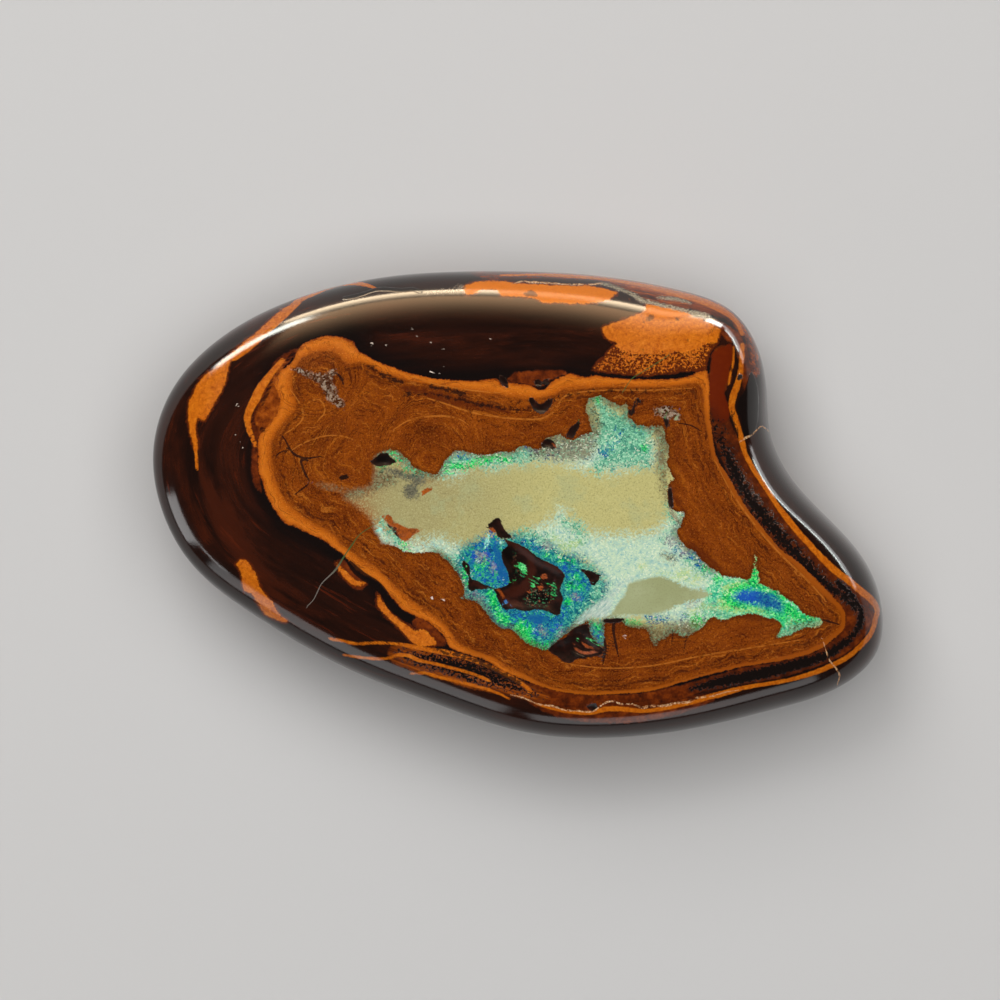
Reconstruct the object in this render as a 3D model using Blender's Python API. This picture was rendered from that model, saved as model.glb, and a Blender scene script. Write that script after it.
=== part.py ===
"""A polished boulder opal freeform, modelled as the one solid stone that it is.

Metres, +Z up. The stone lies on its ground base with its polished face up, and the origin is on the
base, under the middle of the stone's box. +X runs along its length.
"""

import math

import bmesh
import bpy
import numpy as np

MM = 0.001

# Driving sizes of the stone
LENGTH = 73.0 * MM
WIDTH = 46.7 * MM
SHOULDER_HEIGHT = 15.0 * MM
CROWN_RISE = 2.0 * MM
WAVE_HEIGHT = 0.12 * MM

# The girdle is the stone's widest line, seen from above. Each point has its place in millimetres, how
# tightly the shoulder turns there, where a low number is a broad, soft shoulder, and how far below the
# shoulder's height the girdle lies, in millimetres.
GIRDLE = (
    (-36.5, 5.0, 10.0, 4.0),
    (-34.6, 11.5, 10.5, 4.8),
    (-30.0, 16.5, 9.5, 5.6),
    (-22.5, 20.5, 8.5, 6.0),
    (-13.0, 22.8, 8.0, 6.0),
    (-2.0, 23.35, 8.0, 6.6),
    (8.0, 22.9, 7.2, 7.8),
    (16.5, 21.4, 8.0, 7.4),
    (21.6, 19.2, 11.0, 5.4),
    (23.8, 16.1, 12.0, 5.6),
    (24.9, 11.5, 12.0, 7.0),
    (25.2, 7.5, 12.0, 7.6),
    (27.2, 2.9, 12.0, 7.6),
    (31.1, -1.4, 13.0, 7.6),
    (35.0, -6.1, 13.0, 7.4),
    (36.5, -11.1, 14.0, 6.6),
    (36.0, -14.6, 14.0, 5.8),
    (33.1, -17.7, 13.0, 5.2),
    (26.0, -20.4, 12.0, 4.8),
    (17.5, -22.4, 11.0, 4.5),
    (8.6, -23.35, 10.5, 4.3),
    (0.6, -22.75, 10.5, 4.2),
    (-8.2, -19.95, 10.0, 4.2),
    (-17.5, -16.2, 10.0, 4.2),
    (-26.3, -11.1, 10.0, 4.0),
    (-33.0, -5.5, 10.0, 3.6),
    (-35.6, -0.6, 10.0, 3.6),
)

# The ground base reaches this share of the way out to the girdle, and the underside then rises
# to the girdle on a curve of this power.
BASE_SHARE = 0.66
UNDERSIDE_POWER = 2.3

# How finely the surface is divided. Each ring of the crown has RING_GROWTH more points than the one
# inside it, and a section that turns fast gets more rings, by TURN_WEIGHT.
CROWN_RINGS = 24
UNDERSIDE_RINGS = 9
RING_GROWTH = 8
TURN_WEIGHT = 1.3
FINE_STEPS = 2000
MEAN_RADIUS = 28.0 * MM
MEAN_TIGHTNESS = 10.0
MEAN_DROP = 6.0 * MM


def closed_spline(points, places):
    """The smooth closed curve through the points, read at places from 0 to 1 along its length."""
    points = np.array(points)
    count = len(points)
    steps = np.linalg.norm(np.roll(points, -1, axis=0)[:, :2] - points[:, :2], axis=1)
    bend = np.zeros((count, count))
    pull = np.zeros_like(points)
    for i in range(count):
        before, after = steps[i - 1], steps[i]
        bend[i, i - 1] += before
        bend[i, i] += 2 * (before + after)
        bend[i, (i + 1) % count] += after
        rise = (points[(i + 1) % count] - points[i]) / after
        fall = (points[i] - points[i - 1]) / before
        pull[i] = 6 * (rise - fall)
    curvature = np.linalg.solve(bend, pull)
    ends = np.concatenate([[0.0], np.cumsum(steps)])
    at = (np.asarray(places) % 1.0) * ends[-1]
    piece = np.clip(np.searchsorted(ends, at, side="right") - 1, 0, count - 1)
    following = (piece + 1) % count
    step = steps[piece][:, None]
    t = (at - ends[piece])[:, None]
    back = step - t
    return (
        (curvature[piece] * back**3 + curvature[following] * t**3) / (6 * step)
        + (points[piece] / step - curvature[piece] * step / 6) * back
        + (points[following] / step - curvature[following] * step / 6) * t
    )


def girdle_at(places):
    """X and Y, the shoulder's tightness and its drop, at places from 0 to 1 round the girdle."""
    fine = closed_spline(GIRDLE, np.arange(FINE_STEPS) / FINE_STEPS)[:, :2]
    low, high = fine.min(0), fine.max(0)
    found = closed_spline(GIRDLE, places)
    found[:, :2] = (found[:, :2] - (low + high) / 2) / (high - low) * [LENGTH, WIDTH]
    found[:, 3] *= MM
    return found.T


def crown_height(share, tightness, drop):
    """Height of the polished top at a share of the way from the middle out to the girdle."""
    shoulder = np.sqrt(np.clip(1 - share**tightness, 0, 1))
    return SHOULDER_HEIGHT - drop * (1 - shoulder) + CROWN_RISE * (1 - share**2)


def underside_height(share, drop):
    """Height of the underside: flat on the base, then up to the girdle."""
    out = np.clip((share - BASE_SHARE) / (1 - BASE_SHARE), 0, 1)
    return (SHOULDER_HEIGHT - drop) * (1 - np.sqrt(np.clip(1 - out**UNDERSIDE_POWER, 0, 1)))


def hand_waves(x, y):
    """The slow swells that hand polishing leaves on the face."""
    long_swell = np.sin(x / (9.0 * MM) + 0.8) * np.cos(y / (7.5 * MM) - 0.4)
    cross_swell = np.sin(x / (5.5 * MM) - y / (8.0 * MM))
    return WAVE_HEIGHT * (0.65 * long_swell + 0.35 * cross_swell)


def evenly(shares, heights, rings):
    """Shares of a section, from its start to its end, that divide its length and turning evenly."""
    across = np.diff(shares * MEAN_RADIUS)
    up = np.diff(heights)
    length = np.cumsum(np.hypot(across, up))
    slope = np.arctan2(up, across)
    turning = np.cumsum(np.abs(np.diff(slope, prepend=slope[0])))
    spent = np.append(0.0, length / length[-1] + TURN_WEIGHT * turning / turning[-1])
    return np.interp(np.linspace(0, spent[-1], rings + 1), spent, shares)


def crown_shares():
    """The crown's rings, from the first one round its middle out to the girdle."""
    shares = np.sin(np.linspace(0, math.pi / 2, FINE_STEPS)) ** (2 / MEAN_TIGHTNESS)
    return evenly(shares, crown_height(shares, MEAN_TIGHTNESS, MEAN_DROP), CROWN_RINGS)[1:]


def underside_shares():
    """The underside's rings, from the first one below the girdle in to the edge of the base."""
    out = np.sin(np.linspace(0, math.pi / 2, FINE_STEPS)) ** (2 / UNDERSIDE_POWER)
    shares = BASE_SHARE + (1 - BASE_SHARE) * out
    return evenly(shares, underside_height(shares, MEAN_DROP), UNDERSIDE_RINGS)[-2::-1]


def crown_ring(share, count):
    """One ring of points on the polished top."""
    x, y, tightness, drop = girdle_at(np.arange(count) / count)
    x, y = x * share, y * share
    z = crown_height(share, tightness, drop) + hand_waves(x, y) * (1 - share**4)
    return np.column_stack([x, y, z])


def underside_ring(share, count):
    """One ring of points on the underside."""
    x, y, _, drop = girdle_at(np.arange(count) / count)
    return np.column_stack([x * share, y * share, underside_height(share, drop)])


def widening_faces(mesh, inner, outer):
    """Joins a ring of the crown to the next one out. Each of its sectors gains one point."""
    side_in, side_out = len(inner) // RING_GROWTH, len(outer) // RING_GROWTH
    for sector in range(RING_GROWTH):
        for step in range(side_out):
            a = outer[sector * side_out + step]
            b = outer[(sector * side_out + step + 1) % len(outer)]
            here = inner[(sector * side_in + step) % len(inner)]
            if step == side_out - 1:
                mesh.faces.new((a, b, here))
            else:
                beyond = inner[(sector * side_in + step + 1) % len(inner)]
                mesh.faces.new((a, b, beyond, here))


def straight_faces(mesh, upper, lower):
    """Joins two rings of the same number of points."""
    for i in range(len(upper)):
        j = (i + 1) % len(upper)
        mesh.faces.new((upper[i], lower[i], lower[j], upper[j]))


def stone_mesh():
    """The whole stone: crown from its middle out to the girdle, underside down to the flat base."""
    mesh = bmesh.new()
    middle = mesh.verts.new((0.0, 0.0, SHOULDER_HEIGHT + CROWN_RISE + hand_waves(0.0, 0.0)))
    rings = []
    for number, share in enumerate(crown_shares(), start=1):
        points = crown_ring(share, RING_GROWTH * number)
        rings.append([mesh.verts.new(p) for p in points])
    for i in range(RING_GROWTH):
        mesh.faces.new((middle, rings[0][i], rings[0][(i + 1) % RING_GROWTH]))
    for inner, outer in zip(rings, rings[1:]):
        widening_faces(mesh, inner, outer)
    upper = rings[-1]
    for share in underside_shares():
        points = underside_ring(share, len(upper))
        lower = [mesh.verts.new(p) for p in points]
        straight_faces(mesh, upper, lower)
        upper = lower
    mesh.faces.new(upper)
    bmesh.ops.recalc_face_normals(mesh, faces=mesh.faces)
    return mesh


def stone_material():
    """Polished ironstone, the greater part of the stone's outside."""
    material = bpy.data.materials.new("polished_ironstone")
    material.use_nodes = True
    shader = material.node_tree.nodes["Principled BSDF"]
    shader.inputs["Base Color"].default_value = (0.13, 0.052, 0.016, 1.0)
    shader.inputs["Roughness"].default_value = 0.12
    shader.inputs["Metallic"].default_value = 0.0
    return material


def main():
    for old in list(bpy.data.objects):
        bpy.data.objects.remove(old)
    data = bpy.data.meshes.new("boulder_opal")
    mesh = stone_mesh()
    mesh.to_mesh(data)
    mesh.free()
    data.materials.append(stone_material())
    data.shade_smooth()
    stone = bpy.data.objects.new("boulder_opal", data)
    bpy.context.scene.collection.objects.link(stone)


main()
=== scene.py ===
import math

import bpy
import numpy as np
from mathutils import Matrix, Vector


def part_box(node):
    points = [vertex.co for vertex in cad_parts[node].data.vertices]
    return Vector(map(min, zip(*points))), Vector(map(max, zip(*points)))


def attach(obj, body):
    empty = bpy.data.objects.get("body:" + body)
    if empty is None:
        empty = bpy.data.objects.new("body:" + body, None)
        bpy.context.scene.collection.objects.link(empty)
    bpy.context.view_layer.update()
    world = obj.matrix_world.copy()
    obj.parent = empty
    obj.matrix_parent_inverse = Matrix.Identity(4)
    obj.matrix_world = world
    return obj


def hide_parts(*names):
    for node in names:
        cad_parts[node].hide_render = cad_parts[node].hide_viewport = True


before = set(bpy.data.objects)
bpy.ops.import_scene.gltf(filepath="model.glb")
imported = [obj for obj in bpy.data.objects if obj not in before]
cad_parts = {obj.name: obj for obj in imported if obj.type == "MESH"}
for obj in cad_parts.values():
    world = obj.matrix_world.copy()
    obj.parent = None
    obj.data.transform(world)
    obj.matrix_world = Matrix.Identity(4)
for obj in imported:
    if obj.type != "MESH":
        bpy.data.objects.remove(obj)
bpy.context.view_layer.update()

# The pebble. One piece of ironstone with opal in its heart, ground to a freeform on a wheel and
# polished all over. Its base is ground flat. Lengths here are in millimetres, x and y from the
# middle of the base.
MM = 0.001
low, high = (np.array(corner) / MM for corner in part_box("boulder_opal"))
LENGTH, WIDTH = (high - low)[:2]
SHOULDER_HEIGHT = 15.0
CROWN_RISE = 2.0
WAVE_HEIGHT = 0.12
BASE_SHARE = 0.66
UNDERSIDE_POWER = 2.3
CROWN_RINGS = 118
UNDERSIDE_RINGS = 26
BASE_STEPS = 14
RING_GROWTH = 8
GIRDLE_COUNT = RING_GROWTH * CROWN_RINGS
TURN_WEIGHT = 0.45
FINE_STEPS = 2000
MEAN_RADIUS = 28.0
MEAN_TIGHTNESS = 10.0
MEAN_DROP = 6.0

# Each point of the girdle, the widest line, has x, y, how tightly the shoulder above it turns, and how
# far below the shoulder's height it lies.
GIRDLE = (
    (-36.5, 5.0, 10.0, 4.0), (-34.6, 11.5, 10.5, 4.8), (-30.0, 16.5, 9.5, 5.6), (-22.5, 20.5, 8.5, 6.0),
    (-13.0, 22.8, 8.0, 6.0), (-2.0, 23.35, 8.0, 6.6), (8.0, 22.9, 7.2, 7.8), (16.5, 21.4, 8.0, 7.4),
    (21.6, 19.2, 11.0, 5.4), (23.8, 16.1, 12.0, 5.6), (24.9, 11.5, 12.0, 7.0), (25.2, 7.5, 12.0, 7.6),
    (27.2, 2.9, 12.0, 7.6), (31.1, -1.4, 13.0, 7.6), (35.0, -6.1, 13.0, 7.4), (36.5, -11.1, 14.0, 6.6),
    (36.0, -14.6, 14.0, 5.8), (33.1, -17.7, 13.0, 5.2), (26.0, -20.4, 12.0, 4.8),
    (17.5, -22.4, 11.0, 4.5), (8.6, -23.35, 10.5, 4.3), (0.6, -22.75, 10.5, 4.2),
    (-8.2, -19.95, 10.0, 4.2), (-17.5, -16.2, 10.0, 4.2), (-26.3, -11.1, 10.0, 4.0),
    (-33.0, -5.5, 10.0, 3.6), (-35.6, -0.6, 10.0, 3.6),
)


def closed_spline(points, places):
    """A smooth closed curve through the points, at places from 0 to 1 along it."""
    points = np.array(points)
    count = len(points)
    steps = np.linalg.norm(np.roll(points, -1, axis=0)[:, :2] - points[:, :2], axis=1)
    bend = np.zeros((count, count))
    pull = np.zeros_like(points)
    for i in range(count):
        before, after = steps[i - 1], steps[i]
        bend[i, i - 1] += before
        bend[i, i] += 2 * (before + after)
        bend[i, (i + 1) % count] += after
        slope_after = (points[(i + 1) % count] - points[i]) / after
        slope_before = (points[i] - points[i - 1]) / before
        pull[i] = 6 * (slope_after - slope_before)
    curvature = np.linalg.solve(bend, pull)
    ends = np.concatenate([[0.0], np.cumsum(steps)])
    at = (np.asarray(places) % 1.0) * ends[-1]
    piece = np.clip(np.searchsorted(ends, at, side="right") - 1, 0, count - 1)
    following = (piece + 1) % count
    step = steps[piece][:, None]
    t = (at - ends[piece])[:, None]
    back = step - t
    return (
        (curvature[piece] * back**3 + curvature[following] * t**3) / (6 * step)
        + (points[piece] / step - curvature[piece] * step / 6) * back
        + (points[following] / step - curvature[following] * step / 6) * t
    )


def girdle_at(places):
    """The girdle's x, y, tightness and drop, stretched to the part's own length and width."""
    fine = closed_spline(GIRDLE, np.arange(FINE_STEPS) / FINE_STEPS)[:, :2]
    least, most = fine.min(0), fine.max(0)
    found = closed_spline(GIRDLE, places)
    found[:, :2] = (found[:, :2] - (least + most) / 2) / (most - least) * [LENGTH, WIDTH]
    return found.T


def crown_height(share, tightness, drop):
    """Height of the face and shoulder, by the share of the way out from the middle."""
    shoulder = np.sqrt(np.clip(1 - share**tightness, 0, 1))
    return SHOULDER_HEIGHT - drop * (1 - shoulder) + CROWN_RISE * (1 - share**2)


def underside_height(share, drop):
    out = np.clip((share - BASE_SHARE) / (1 - BASE_SHARE), 0, 1)
    return (SHOULDER_HEIGHT - drop) * (1 - np.sqrt(np.clip(1 - out**UNDERSIDE_POWER, 0, 1)))


def hand_waves(x, y):
    """The slight unevenness that polishing by hand leaves."""
    long_swell = np.sin(x / 9.0 + 0.8) * np.cos(y / 7.5 - 0.4)
    cross_swell = np.sin(x / 5.5 - y / 8.0)
    return WAVE_HEIGHT * (0.65 * long_swell + 0.35 * cross_swell)


def evenly(shares, heights, rings):
    """Shares for rings that lie evenly over a profile, and closer where it turns."""
    across = np.diff(shares * MEAN_RADIUS)
    up = np.diff(heights)
    length = np.cumsum(np.hypot(across, up))
    slope = np.arctan2(up, across)
    turning = np.cumsum(np.abs(np.diff(slope, prepend=slope[0])))
    spent = np.append(0.0, length / length[-1] + TURN_WEIGHT * turning / turning[-1])
    return np.interp(np.linspace(0, spent[-1], rings + 1), spent, shares)


def crown_rings():
    fine = np.sin(np.linspace(0, math.pi / 2, FINE_STEPS)) ** (2 / MEAN_TIGHTNESS)
    shares = evenly(fine, crown_height(fine, MEAN_TIGHTNESS, MEAN_DROP), CROWN_RINGS)[1:]
    for number, share in enumerate(shares, start=1):
        x, y, tightness, drop = girdle_at(np.arange(RING_GROWTH * number) / (RING_GROWTH * number))
        x, y = x * share, y * share
        z = crown_height(share, tightness, drop) + hand_waves(x, y) * (1 - share**4)
        yield np.column_stack([x, y, z])


def underside_rings():
    out = np.sin(np.linspace(0, math.pi / 2, FINE_STEPS)) ** (2 / UNDERSIDE_POWER)
    fine = BASE_SHARE + (1 - BASE_SHARE) * out
    shares = list(evenly(fine, underside_height(fine, MEAN_DROP), UNDERSIDE_RINGS)[-2::-1])
    shares += [BASE_SHARE * step / BASE_STEPS for step in range(BASE_STEPS - 1, 0, -1)]
    x, y, _, drop = girdle_at(np.arange(GIRDLE_COUNT) / GIRDLE_COUNT)
    for share in shares:
        yield np.column_stack([x * share, y * share, underside_height(share, drop)])


rings = [*crown_rings(), *underside_rings()]
crown_top = [[0.0, 0.0, SHOULDER_HEIGHT + CROWN_RISE + hand_waves(0.0, 0.0)]]
base_middle = [[0.0, 0.0, 0.0]]
points = np.concatenate([crown_top, *rings, base_middle])
starts = np.cumsum([1, *(len(ring) for ring in rings)])[:-1].tolist()
faces = [(0, 1 + i, 1 + (i + 1) % RING_GROWTH) for i in range(RING_GROWTH)]
for number in range(1, CROWN_RINGS):
    inner, outer = starts[number - 1], starts[number]
    count_in, count_out = RING_GROWTH * number, RING_GROWTH * (number + 1)
    for sector in range(RING_GROWTH):
        for step in range(number + 1):
            along = sector * (number + 1) + step
            inner_along = sector * number + step
            edge = (outer + along, outer + (along + 1) % count_out)
            if step < number:
                edge = (*edge, inner + (inner_along + 1) % count_in)
            faces.append((*edge, inner + inner_along % count_in))
for upper, lower in zip(starts[CROWN_RINGS - 1:], starts[CROWN_RINGS:]):
    for i in range(GIRDLE_COUNT):
        j = (i + 1) % GIRDLE_COUNT
        faces.append((upper + i, lower + i, lower + j, upper + j))
last = len(points) - 1
for i in range(GIRDLE_COUNT):
    faces.append((starts[-1] + i, last, starts[-1] + (i + 1) % GIRDLE_COUNT))

# Markings are closed outlines or strokes in x and y, as drawn on the face. A mark's depth at a
# point is how far inside its edge the point lies. Below the girdle it loses its fade for each
# millimetre of height, so the heart's marks end there and the crust's run some way down the side.
EDGE_FADE = 3.0
CRUST_FADE = 0.45
BASE_FADE = 0.35
REACH = 3.0
OPAL_REACH = 12.0
WHOLE_REACH = 40.0
CURVE_STEPS = 3
SPOT_LENGTH = 0.01
CROWN_HEIGHT_ON = 99.0
SIDE_START = 9.0
SIDE_LIMIT = 12.0
HAIR_BAND = 0.7
TINY = 1e-12
x_on, y_on = points[:, 0], points[:, 1]
girdle_height = np.zeros(len(points))
ring_drop = SHOULDER_HEIGHT - girdle_at(np.arange(GIRDLE_COUNT) / GIRDLE_COUNT)[3]
for start in starts[CROWN_RINGS:]:
    girdle_height[start : start + GIRDLE_COUNT] = ring_drop
girdle_height[-1] = ring_drop.mean()
below_girdle = np.clip(girdle_height - points[:, 2], 0, None)
height_on = np.where(np.arange(len(points)) < starts[CROWN_RINGS], CROWN_HEIGHT_ON, points[:, 2])
marks = {}


def curve(knots, closed):
    """A smooth line through the knots."""
    knots = np.array(knots, float)
    if closed:
        around = [np.roll(knots, shift, axis=0) for shift in (1, 0, -1, -2)]
    else:
        padded = np.concatenate([knots[:1], knots, knots[-1:]])
        around = [padded[:-3], padded[1:-2], padded[2:-1], padded[3:]]
    a, b, c, d = (part[:, None, :] for part in around)
    t = (np.arange(CURVE_STEPS) / CURVE_STEPS)[None, :, None]
    bent = b + t / 2 * (c - a + t * (2 * a - 5 * b + 4 * c - d + t * (3 * (b - c) + d - a)))
    line = bent.reshape(-1, knots.shape[1])
    return line if closed else np.concatenate([line, knots[-1:]])


def near(line, reach):
    """The points of the stone that a line can reach."""
    (left, bottom), (right, top) = line[:, :2].min(0) - reach, line[:, :2].max(0) + reach
    return np.flatnonzero((x_on > left) & (x_on < right) & (y_on > bottom) & (y_on < top))


def from_piece(x, y, start, end):
    """The share along a straight piece of the place nearest to each point, and the way from it."""
    ux, uy = end[0] - start[0], end[1] - start[1]
    t = np.clip(((x - start[0]) * ux + (y - start[1]) * uy) / (ux**2 + uy**2 + TINY), 0, 1)
    return t, x - start[0] - t * ux, y - start[1] - t * uy


def outline(*knots, reach=REACH):
    """Depth inside a closed outline."""
    line = curve(knots, closed=True)
    close = near(line, reach)
    x, y = x_on[close], y_on[close]
    far = np.full(len(close), reach**2)
    inside = np.zeros(len(close), bool)
    for start, end in zip(line, np.roll(line, -1, axis=0)):
        _, dx, dy = from_piece(x, y, start, end)
        far = np.minimum(far, dx**2 + dy**2)
        if start[1] != end[1]:
            crossing = start[0] + (y - start[1]) * (end[0] - start[0]) / (end[1] - start[1])
            inside ^= ((start[1] > y) != (end[1] > y)) & (x < crossing)
    depth = np.full(len(points), -reach)
    depth[close] = np.where(inside, np.sqrt(far), -np.sqrt(far))
    return depth


def stroke(*knots, reach=REACH):
    """Depth inside a line whose knots have x, y and a width."""
    line = curve(knots, closed=False)
    close = near(line, reach)
    x, y = x_on[close], y_on[close]
    found = np.full(len(close), -reach)
    for start, end in zip(line, line[1:]):
        t, dx, dy = from_piece(x, y, start, end)
        found = np.maximum(found, (start[2] + t * (end[2] - start[2])) / 2 - np.hypot(dx, dy))
    depth = np.full(len(points), -reach)
    depth[close] = found
    return depth


def spots(*places, reach=REACH):
    """Depth inside round spots, each with x, y and a width."""
    return np.max([stroke((x, y, w), (x + SPOT_LENGTH, y, w), reach=reach) for x, y, w in places], axis=0)


def mark(name, *shapes, fade=EDGE_FADE):
    marks[name] = np.max(shapes, axis=0) - fade * below_girdle


def hairlines(name, *lines):
    """Lines thinner than the mesh. Each point keeps how far to one side of the nearest line it lies,
    in half widths of that line, and how far inside a band along the lines it is."""
    best = np.full(len(points), REACH)
    side = np.full(len(points), SIDE_START)
    for knots in lines:
        line = curve(knots, closed=False)
        close = near(line, REACH)
        for start, end in zip(line, line[1:]):
            t, dx, dy = from_piece(x_on[close], y_on[close], start, end)
            gap = np.hypot(dx, dy)
            nearer = gap < best[close]
            chosen = close[nearer]
            best[chosen] = gap[nearer]
            half_width = (start[2] + t * (end[2] - start[2])) / 2
            turn = (end[0] - start[0]) * dy - (end[1] - start[1]) * dx
            side[chosen] = (np.sign(turn) * gap / half_width)[nearer]
    marks[name + "_side"] = np.clip(side, -SIDE_LIMIT, SIDE_LIMIT)
    marks[name] = HAIR_BAND / 2 - best - EDGE_FADE * below_girdle


# The stone's material is worked out at each point from the marks and from noise. Colours are written
# as their display numbers, 0 to 255.
def display_colour(red, green, blue):
    shares = (channel / 255 for channel in (red, green, blue))
    return (*(s / 12.92 if s <= 0.04045 else ((s + 0.055) / 1.055) ** 2.4 for s in shares), 1.0)


def feed(node, inputs):
    """Give each socket of a node its number or colour, or a link from a Value."""
    for name, given in inputs.items():
        if isinstance(given, Value):
            node.id_data.links.new(given.end, node.inputs[name])
        else:
            node.inputs[name].default_value = given


class Value:
    """A shader socket that Python's operators work on. Each operator adds the node that does it."""

    tree = None

    def __init__(self, end):
        self.end = end

    @classmethod
    def node(cls, kind, settings, inputs, output=0):
        made = cls.tree.nodes.new(kind)
        for name, setting in settings.items():
            if name == "stops":
                elements = made.color_ramp.elements
                while len(elements) < len(setting):
                    elements.new(1.0)
                for element, (at, *channels) in zip(elements, setting):
                    element.position, element.color = at, display_colour(*channels)
            else:
                setattr(made, name, setting)
        feed(made, inputs)
        return cls(made.outputs[output])

    def maths(self, operation, *others):
        return Value.node("ShaderNodeMath", {"operation": operation}, dict(enumerate((self, *others))))

    def __add__(self, other):
        return self.maths("ADD", other)

    __radd__ = __add__

    def __mul__(self, other):
        return self.maths("MULTIPLY", other)

    __rmul__ = __mul__

    def __sub__(self, other):
        return self.maths("SUBTRACT", other)

    def __rsub__(self, other):
        return Value.node("ShaderNodeMath", {"operation": "SUBTRACT"}, {0: other, 1: self})

    def __truediv__(self, other):
        return self.maths("DIVIDE", other)


def depth_of(name):
    return Value.node("ShaderNodeAttribute", {"attribute_name": name}, {}, "Fac")


def rise(value, start, end):
    """0 before start, 1 past end, and a smooth step between them."""
    if start > end:
        return 1 - rise(value, end, start)
    inputs = {"Value": value, "From Min": start, "From Max": end}
    return Value.node("ShaderNodeMapRange", {"interpolation_type": "SMOOTHSTEP"}, inputs)


def place(x, y, z):
    return Value.node("ShaderNodeCombineXYZ", {}, {0: x, 1: y, 2: z})


def parts_of(vector):
    return [Value.node("ShaderNodeSeparateXYZ", {}, {0: vector}, axis) for axis in range(3)]


def noise(where, scale, detail=2.0, roughness=0.5, twist=0.0):
    inputs = {"Vector": where, "Scale": scale, "Detail": detail, "Roughness": roughness}
    return Value.node("ShaderNodeTexNoise", {}, {**inputs, "Distortion": twist})


def cells(where, scale):
    """Small cells, each with three chance numbers of its own."""
    inputs = {"Vector": where, "Scale": scale}
    return parts_of(Value.node("ShaderNodeTexVoronoi", {}, inputs, "Color"))


def over(under, upper, mask):
    """One colour laid over another where the mask is 1."""
    under, upper = (display_colour(*c) if isinstance(c, tuple) else c for c in (under, upper))
    return Value.node("ShaderNodeMix", {"data_type": "RGBA"}, {0: mask, 6: under, 7: upper}, 2)


def shade(value, *stops):
    """A colour from a number, by stops of place and colour."""
    return Value.node("ShaderNodeValToRGB", {"stops": stops}, {0: value})


material = bpy.data.materials.new("polished_boulder_opal")
material.use_nodes = True
Value.tree = material.node_tree
object_place = Value.node("ShaderNodeTexCoord", {}, {}, "Object")
here = Value.node("ShaderNodeVectorMath", {"operation": "SCALE"}, {0: object_place, "Scale": 1 / MM})
x_here, y_here, z_here = parts_of(here)
ragged = noise(here, 1.6, 4.0, 0.6)
grain = noise(here, 7.0, 3.0, 0.6)
dust = noise(here, 6.0, 3.0, 0.8)
drift = noise(here, 0.45, 3.0) - 0.5
sway = ragged - 0.5
grit = grain - 0.5


def hairline(name, waver=0.5):
    """1 on the thin lines of a name, 0 off them."""
    side = depth_of(name + "_side").maths("ABSOLUTE") + sway * (2 * waver)
    return rise(side, 1.2, 0.8) * rise(depth_of(name), -0.02, 0.08)


def frayed(name, amount=0.3, gritty=0.0):
    """A mark's depth with an uneven edge."""
    depth = depth_of(name) + sway * (2 * amount)
    return depth + grit * (2 * gritty) if gritty else depth


# The crust. Dense dark ironstone that grew in shells round the nodule, so its faint rusty bands
# follow the outline. It is nearly black against the heart.
SHELL_POINTS = 60
shell_line = girdle_at(np.arange(SHELL_POINTS) / SHELL_POINTS)[:2].T
mark("shell", outline(*shell_line, reach=WHOLE_REACH), fade=0.0)
shell = depth_of("shell")
shell_bands = noise(place(x_here * 0.09, y_here * 0.09, shell * 0.55 + z_here * 0.3), 1.0, 5.0, 0.62, 0.4)
crust = shade(shell_bands, (0.28, 17, 7, 4), (0.45, 31, 12, 6), (0.58, 42, 16, 7), (0.76, 64, 24, 9))
rust_streaks = rise(noise(place(x_here * 0.2, y_here * 0.2, shell * 2.0), 1.0, 4.0, 0.6), 0.58, 0.76)
crust = over(crust, (92, 32, 8), rust_streaks * rise(x_here, -6.0, -20.0) * 0.75)
crust = over(crust, (9, 4, 3), rise(grain, 0.56, 0.72) * 0.55)
crust = over(crust, (84, 40, 20), rise(noise(here, 5.0, 3.0, 0.7), 0.62, 0.78) * 0.35)

# Rusty bands of the crust, wide and soft, along its left end and above the heart.
mark(
    "rust",
    stroke(
        (-32.1, 6.5, 0.8), (-31.5, 4, 1.6), (-30.5, 1.3, 2.4), (-29.1, -1.5, 3), (-27.5, -4.3, 3),
        (-25.6, -7, 2.4), (-23.3, -9.3, 1.6), (-19.8, -11.3, 0.8),
    ),
    stroke((-34.2, 7.5, 0.4), (-33.7, 3.5, 0.8), (-32.6, 0, 0.8), (-31, -3.3, 0.6)),
    stroke(
        (-15.8, 17.5, 0.6), (-9.8, 16.5, 1.4), (-3.8, 16, 1.6), (2.2, 16.5, 1.2), (7.2, 17, 0.6),
    ) - 0.3,
)
rust = rise(depth_of("rust") + (shell_bands - 0.5) * 5.0 + drift * 1.5, -0.6, 1.2)
crust = over(crust, (80, 30, 10), rust * 0.45)

# The sides and the underside. Cut through the same shells, so they show level bands, and paler
# rusty clouds under the base.
marks["below"] = below_girdle
side_bands = noise(place(x_here * 0.05, y_here * 0.05, z_here * 1.1 + drift * 1.8), 1.0, 4.0, 0.6)
side_colour = shade(
    side_bands,
    (0.36, 15, 7, 4),
    (0.47, 34, 13, 6),
    (0.55, 74, 28, 9),
    (0.63, 124, 55, 13),
    (0.72, 184, 94, 22),
)
base_clouds = rise(noise(here, 0.13, 3.0, 0.6), 0.46, 0.62) * rise(z_here, 2.5, 0.0)
side_colour = over(side_colour, (88, 42, 18), base_clouds * 0.8)
side_colour = over(side_colour, (9, 4, 3), rise(grain, 0.56, 0.72) * 0.5)
colour = over(crust, side_colour, rise(depth_of("below"), 0.2, 2.5) * 0.9)

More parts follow.
